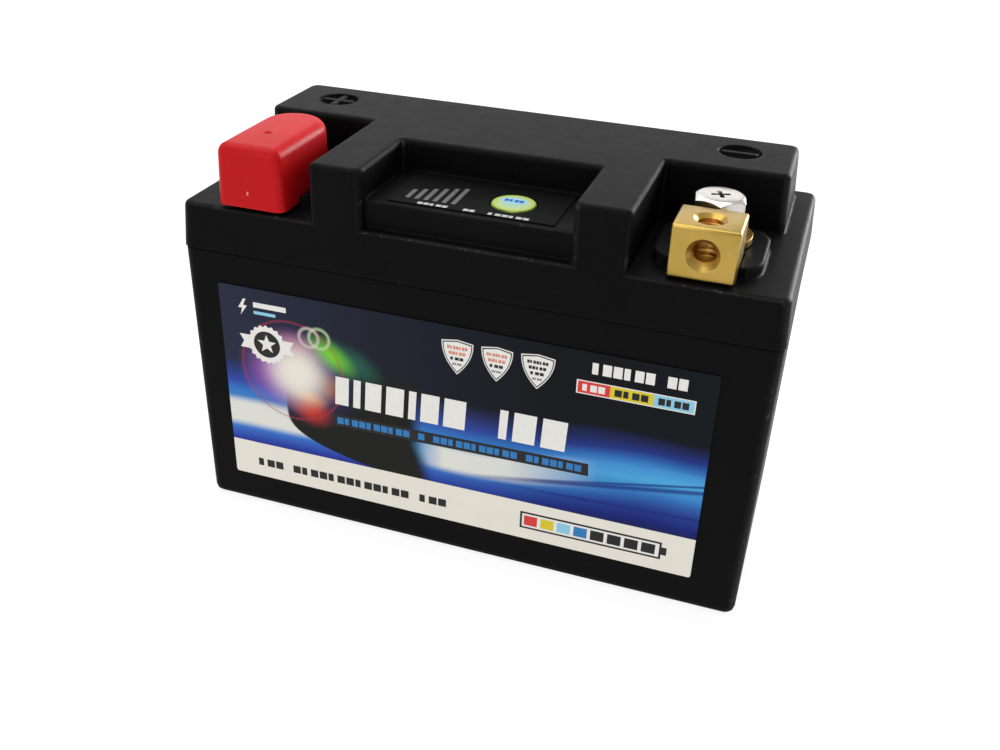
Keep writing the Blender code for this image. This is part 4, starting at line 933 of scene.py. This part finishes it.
class Print:
    """Thin printed shapes on one surface, joined into one piece, each layer just above the last."""

    def __init__(self, name, place):
        self.name = name
        self.place = place
        self.bm = bmesh.new()
        self.inks = []

    def shape(self, ink, points, layer=0):
        if ink not in self.inks:
            self.inks.append(ink)
        lift = PRINT_LIFT * (layer + 1)
        lower = [self.bm.verts.new(self.place(u, v, lift - PRINT_THICKNESS)) for u, v in points]
        upper = [self.bm.verts.new(self.place(u, v, lift)) for u, v in points]
        ends = [self.bm.faces.new(upper), self.bm.faces.new(lower[::-1])]
        for face in ends + join_rings(self.bm, lower, upper):
            face.material_index = self.inks.index(ink)

    def bar(self, ink, left, bottom, right, top, layer=0, slant=0.0):
        self.shape(ink, [(left, bottom), (right, bottom), (right + slant, top), (left + slant, top)], layer)

    def disc(self, ink, centre, radius, layer=0, waves=0, depth=0.0, steps=72):
        points = []
        for step in range(steps):
            angle = 2.0 * math.pi * step / steps
            reach = radius + depth * math.cos(waves * angle)
            points.append((centre[0] + reach * math.cos(angle), centre[1] + reach * math.sin(angle)))
        self.shape(ink, points, layer)

    def blocks(self, ink, left, bottom, height, widths, gap, layer=0, slant=0.0):
        """A row of plain blocks with even gaps, in place of a line of lettering."""
        for width in widths:
            self.bar(ink, left, bottom, left + width, bottom + height, layer, slant)
            left += width + gap

    def words(self, ink, left, right, bottom, height, counts, layer=0, rise=0.0):
        """Small blocks grouped like words between two ends, in place of a line of lettering."""
        pitch = (right - left) / (sum(counts) + len(counts) - 1)
        place = left
        for count in counts:
            for index in range(count):
                foot = bottom + rise * (place - left) / (right - left)
                width = pitch * (0.84 if (index * 5 + count) % 3 else 0.58)
                self.bar(ink, place, foot, place + width, foot + height, layer)
                place += pitch
            place += pitch

    def finish(self, body):
        materials = [INK[ink] for ink in self.inks]
        bmesh.ops.recalc_face_normals(self.bm, faces=self.bm.faces)
        piece = mesh_object(self.name, self.bm, materials)
        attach(piece, body)


def on_front(u, v, lift):
    """A point on the front label from millimetres across and up, lifted off its face."""
    across = u * (1.0 - PRINT_SQUEEZE) + PRINT_SHIFT[0]
    up = v + u * PRINT_RISE + PRINT_SHIFT[1]
    y = LABEL_WALL_Y + LABEL_DRAFT * (LABEL_RIM_Z - up) - lift
    return (across * MM, y * MM, up * MM)


def on_rear(u, v, lift):
    """A point on the rear label, read from behind, so that across runs towards -X."""
    y = -LABEL_WALL_Y - LABEL_DRAFT * (LABEL_RIM_Z - v) + lift
    return (-u * MM, y * MM, v * MM)


def shield_points(centre, width, top, bottom):
    """A plain shield: a gently peaked top and sides that curve to a point."""
    half = width / 2
    height = top - bottom
    side = []
    for step in range(9):
        share = step / 8
        side.append((half * (1.0 - share**2.2), top - 0.55 - share * (height - 0.55)))
    right = [(centre + x, z) for x, z in side]
    left = [(centre - x, z) for x, z in side[-2::-1]]
    return [(centre, top)] + right + left


def star_points(centre, outer, inner):
    points = []
    for step in range(10):
        angle = math.pi / 2 - math.pi * step / 5
        reach = outer if step % 2 == 0 else inner
        points.append((centre[0] + reach * math.cos(angle), centre[1] + reach * math.sin(angle)))
    return points


def bolt_points(centre, size):
    """A lightning bolt, the usual sign for electricity."""
    left = [(0.15, 1.0), (-0.55, -0.15), (-0.08, -0.15), (-0.3, -1.0)]
    outline = left + [(0.55, 0.2), (0.08, 0.2), (0.45, 1.0)]
    return [(centre[0] + x * size, centre[1] + z * size) for x, z in outline]


def print_seal(label):
    centre = (-48.2, 46.7)
    label.shape("white", [(-55.2, 45.0), (-51.8, 45.0), (-51.8, 48.5), (-55.2, 48.5), (-54.2, 46.7)])
    label.shape("white", [(-44.6, 45.0), (-41.2, 45.0), (-42.2, 46.7), (-41.2, 48.5), (-44.6, 48.5)])
    label.disc("white", centre, 4.8, 1, 20, 0.24, 120)
    label.disc("black", centre, 3.4, 2)
    label.shape("white", star_points((centre[0], centre[1] + 0.1), 2.5, 1.05), 3)


def print_shields(label):
    for centre, width, top, bottom, inks in (
        (-1.0, 7.4, 57.2, 48.6, ("salmon", "salmon", "black")),
        (8.1, 7.2, 57.2, 48.7, ("salmon", "salmon", "black")),
        (17.3, 7.6, 57.3, 48.8, ("black", "black", "black")),
    ):
        label.shape("white", shield_points(centre, width, top, bottom))
        label.shape("black", shield_points(centre, width - 0.5, top - 0.25, bottom + 0.35), 1)
        label.shape("white", shield_points(centre, width - 1.0, top - 0.5, bottom + 0.7), 2)
        for row, ink in enumerate(inks):
            half = 2.4 - row * 0.4
            foot = top - 2.4 - row * 1.35
            label.words(ink, centre - half, centre + half, foot, 0.75, (7 - row * 2,), 3)
        label.words("grey", centre - 1.1, centre + 1.1, top - 6.3, 0.5, (4,), 3)


def print_ratings(label):
    label.bar("white", 26.0, 49.85, 51.4, 53.15)
    for ink, left, right, mark, count in (
        ("red", 26.3, 33.3, "white", 3),
        ("yellow", 33.3, 42.6, "black", 4),
        ("pale_blue", 42.6, 51.1, "black", 4),
    ):
        label.bar(ink, left, 50.1, right, 52.9, 1)
        label.words(mark, left + 1.0, right - 0.8, 50.65, 1.65, (count,), 2)


def print_battery_sign(label):
    """A long battery sign with a row of charge cells, at the foot of the label."""
    label.bar("black", 15.2, 11.0, 48.4, 15.7)
    label.bar("white", 15.7, 11.5, 47.9, 15.2, 1)
    label.bar("black", 48.4, 12.3, 49.6, 14.4)
    inks = ("red", "yellow", "pale_blue", "blue", "black", "black", "black", "black")
    pitch = 31.6 / len(inks)
    for index, ink in enumerate(inks):
        left = 16.2 + index * pitch
        label.bar(ink, left, 12.0, left + pitch - 0.8, 14.7, 2)


def make_front_print():
    """Plain shapes where the label's wording and marks would be."""
    label = Print("front_label_print", on_front)
    label.shape("white", bolt_points((-53.8, 55.6), 2.1))
    label.bar("white", -51.0, 55.9, -42.6, 57.2)
    label.bar("pale_blue", -51.0, 54.2, -45.4, 55.0)
    print_seal(label)
    print_shields(label)
    label.words("white", 29.1, 49.6, 55.0, 2.7, (6, 2), 0)
    print_ratings(label)
    label.blocks("white", -31.2, 34.4, 7.5, (3.4, 1.8, 4.0, 4.4, 1.8, 4.4, 5.2), 1.2, 0, 0.4)
    label.blocks("white", 9.0, 34.2, 7.6, (1.9, 5.2, 5.6), 1.4, 0, 0.4)
    label.shape("black", [(-31.6, 28.3), (30.3, 29.2), (30.1, 32.4), (-31.6, 31.5)])
    label.words("blue", -30.8, 28.9, 29.1, 1.75, (10, 1, 11, 7), 1, 0.8)
    label.words("black", -53.2, -2.8, 11.8, 2.1, (3, 13, 3), 1)
    print_battery_sign(label)
    label.finish("case")


def make_rear_print():
    label = Print("rear_label_print", on_rear)
    label.shape("white", bolt_points((-45.8, 54.2), 2.6))
    label.bar("white", -41.0, 53.2, -14.0, 55.4)
    for row in range(5):
        z = 43.6 - row * 6.2
        label.bar("grey", -44.0, z, -44.0 + 30.0 - (row * 7) % 11, z + 1.1)
        label.bar("grey", 4.0, z, 4.0 + 34.0 - (row * 5) % 13, z + 1.1)
    label.finish("case")


def make_overlay_print():
    """Six charge bars of rising length, and small blocks below them in place of wording."""
    low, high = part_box("display_overlay")
    film = Print("display_overlay_print", lambda u, v, lift: (u * MM, v * MM, high.z + lift * MM))
    for index in range(6):
        middle = -14.8 + 2.05 * index
        film.bar("film_grey", middle - 0.5, -25.3, middle + 0.5, -20.2 + 0.92 * index)
    for left, right, count in ((-11.6, -4.8, 5), (-1.5, 1.2, 2), (3.9, 12.9, 6)):
        film.words("film_white", left, right, -27.85, 1.15, (count,))
    film.finish("case")
    button = Print("test_button_print", lambda u, v, lift: (u * MM, v * MM, BUTTON_HIGH.z + lift * MM))
    centre = (BUTTON_CENTRE.x / MM - 0.3, BUTTON_CENTRE.y / MM + 1.2)
    points = []
    for step in range(48):
        angle = math.pi * step / 24
        points.append((centre[0] + 3.0 * math.cos(angle), centre[1] + 1.7 * math.sin(angle)))
    button.shape("button_pale", points)
    button.words("button_blue", centre[0] - 2.1, centre[0] + 2.3, centre[1] - 0.7, 1.4, (4,), 1)
    button.finish("test_button")


# ---------------------------------------------------------------- small case details


def make_moulding_marks():
    """A gate mark on the cap's front, and a scrap of flash at the left end of the parting line."""
    low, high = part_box("positive_terminal_cap")
    bm = bmesh.new()
    bmesh.ops.create_uvsphere(bm, u_segments=16, v_segments=8, radius=0.45 * MM)
    for vert in bm.verts:
        vert.co.y *= 0.28
        vert.co.z *= 1.9
        vert.co.x += 0.12 * vert.co.z
    place = Vector(((low.x + high.x) / 2 - 0.3 * MM, low.y + 0.1 * MM, low.z + 3.4 * MM))
    bmesh.ops.translate(bm, vec=place, verts=bm.verts)
    gate = shade(mesh_object("cap_gate_mark", bm, [INK["salmon"]]))
    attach(gate, "terminal_cap")
    low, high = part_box("container")
    bm = bmesh.new()
    bmesh.ops.create_cube(bm, size=1.0)
    bmesh.ops.scale(bm, vec=(0.9 * MM, 0.7 * MM, 0.5 * MM), verts=bm.verts)
    bmesh.ops.bevel(bm, geom=bm.edges, offset=0.15 * MM, segments=2, profile=0.5, affect="EDGES")
    for vert in bm.verts:
        vert.co.z += 0.3 * vert.co.x
    corner = Vector((low.x + 0.35 * MM, low.y + 4.4 * MM, high.z - 0.3 * MM))
    bmesh.ops.translate(bm, vec=corner, verts=bm.verts)
    scrap = shade(mesh_object("parting_line_flash", bm, [LOOKS["case_black"]]))
    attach(scrap, "case")


# ---------------------------------------------------------------- stage


def make_floor():
    """A pale light table: a matt sheet lit evenly from below."""
    look = Look("studio_floor", roughness=0.75, specular=0.1)
    look.set("Base Color", look.mix(look.noise(3.0, 3.0), (0.19, 0.19, 0.19), (0.21, 0.21, 0.21)))
    look.set("Emission Color", (1.0, 1.0, 1.0))
    look.set("Emission Strength", FLOOR_GLOW)
    look.bump(look.noise(240.0, 2.0), 0.0001, 0.05)
    bm = bmesh.new()
    bmesh.ops.create_circle(bm, cap_ends=True, segments=96, radius=4.0)
    floor = mesh_object("studio_floor", bm, [look.material])


def area_light(name, place, target, size, power):
    light = bpy.data.lights.new(name, "AREA")
    light.shape = "RECTANGLE"
    light.size, light.size_y = size
    light.energy = power
    obj = bpy.data.objects.new(name, light)
    obj.location = place
    obj.rotation_mode = "QUATERNION"
    obj.rotation_quaternion = (Vector(target) - Vector(place)).to_track_quat("-Z", "Y")
    bpy.context.scene.collection.objects.link(obj)


def make_lights():
    """A large soft box overhead, backdrops behind on both sides, a weak front box and a pale sky."""
    area_light("overhead_box", (-0.40, 0.25, 1.30), (0.0, 0.05, 0.0), (1.6, 1.4), 15.0)
    area_light("backdrop_light", (-0.40, 1.10, 0.48), (0.0, 0.0, 0.10), (1.3, 0.7), 2.2)
    area_light("right_box", (0.62, 1.00, 0.28), (0.05, 0.0, 0.07), (0.5, 0.5), 16.0)
    area_light("front_box", (-0.35, -0.95, 0.50), (0.0, 0.0, 0.05), (0.5, 0.5), 2.6)
    world = bpy.data.worlds.new("pale_studio")
    world.use_nodes = True
    nodes, links = world.node_tree.nodes, world.node_tree.links
    background = nodes["Background"]
    coordinates = nodes.new("ShaderNodeTexCoord")
    split = nodes.new("ShaderNodeSeparateXYZ")
    ramp = nodes.new("ShaderNodeValToRGB")
    links.new(coordinates.outputs["Generated"], split.inputs[0])
    links.new(split.outputs["Z"], ramp.inputs["Fac"])
    links.new(ramp.outputs["Color"], background.inputs["Color"])
    ramp.color_ramp.elements[0].color = (0.45, 0.455, 0.46, 1.0)
    ramp.color_ramp.elements[1].color = (0.80, 0.80, 0.80, 1.0)
    background.inputs["Strength"].default_value = 1.0
    bpy.context.scene.world = world


def make_camera():
    """The camera at the product picture's angle: turned left of +Y, tilted down and slightly rolled."""
    turn, tilt, roll = (math.radians(v) for v in (CAMERA_TURN, CAMERA_TILT, CAMERA_ROLL))
    ahead = Vector((-math.sin(turn) * math.cos(tilt), math.cos(turn) * math.cos(tilt), -math.sin(tilt)))
    level = Vector((math.cos(turn), math.sin(turn), 0.0))
    up = level.cross(ahead)
    right = level * math.cos(roll) + up * math.sin(roll)
    up = up * math.cos(roll) - level * math.sin(roll)
    turned_to = Matrix((right, up, -ahead)).transposed().to_4x4()
    camera = bpy.data.cameras.new("camera")
    camera.lens = CAMERA_LENS
    camera.sensor_width = 36.0
    camera.shift_x, camera.shift_y = CAMERA_SHIFT
    camera.clip_start = 0.01
    camera.clip_end = 20.0
    obj = bpy.data.objects.new("camera", camera)
    obj.matrix_world = Matrix.Translation(CAMERA_PLACE) @ turned_to
    bpy.context.scene.collection.objects.link(obj)
    bpy.context.scene.camera = obj


dress_nodes()
for polarity in ("negative", "positive"):
    make_block(polarity)
    make_bolt(polarity)
    make_spring_washer(polarity)
make_cap()
make_front_print()
make_rear_print()
make_overlay_print()
make_moulding_marks()
make_floor()
make_lights()
make_camera()
bpy.context.scene.view_settings.view_transform = "Standard"
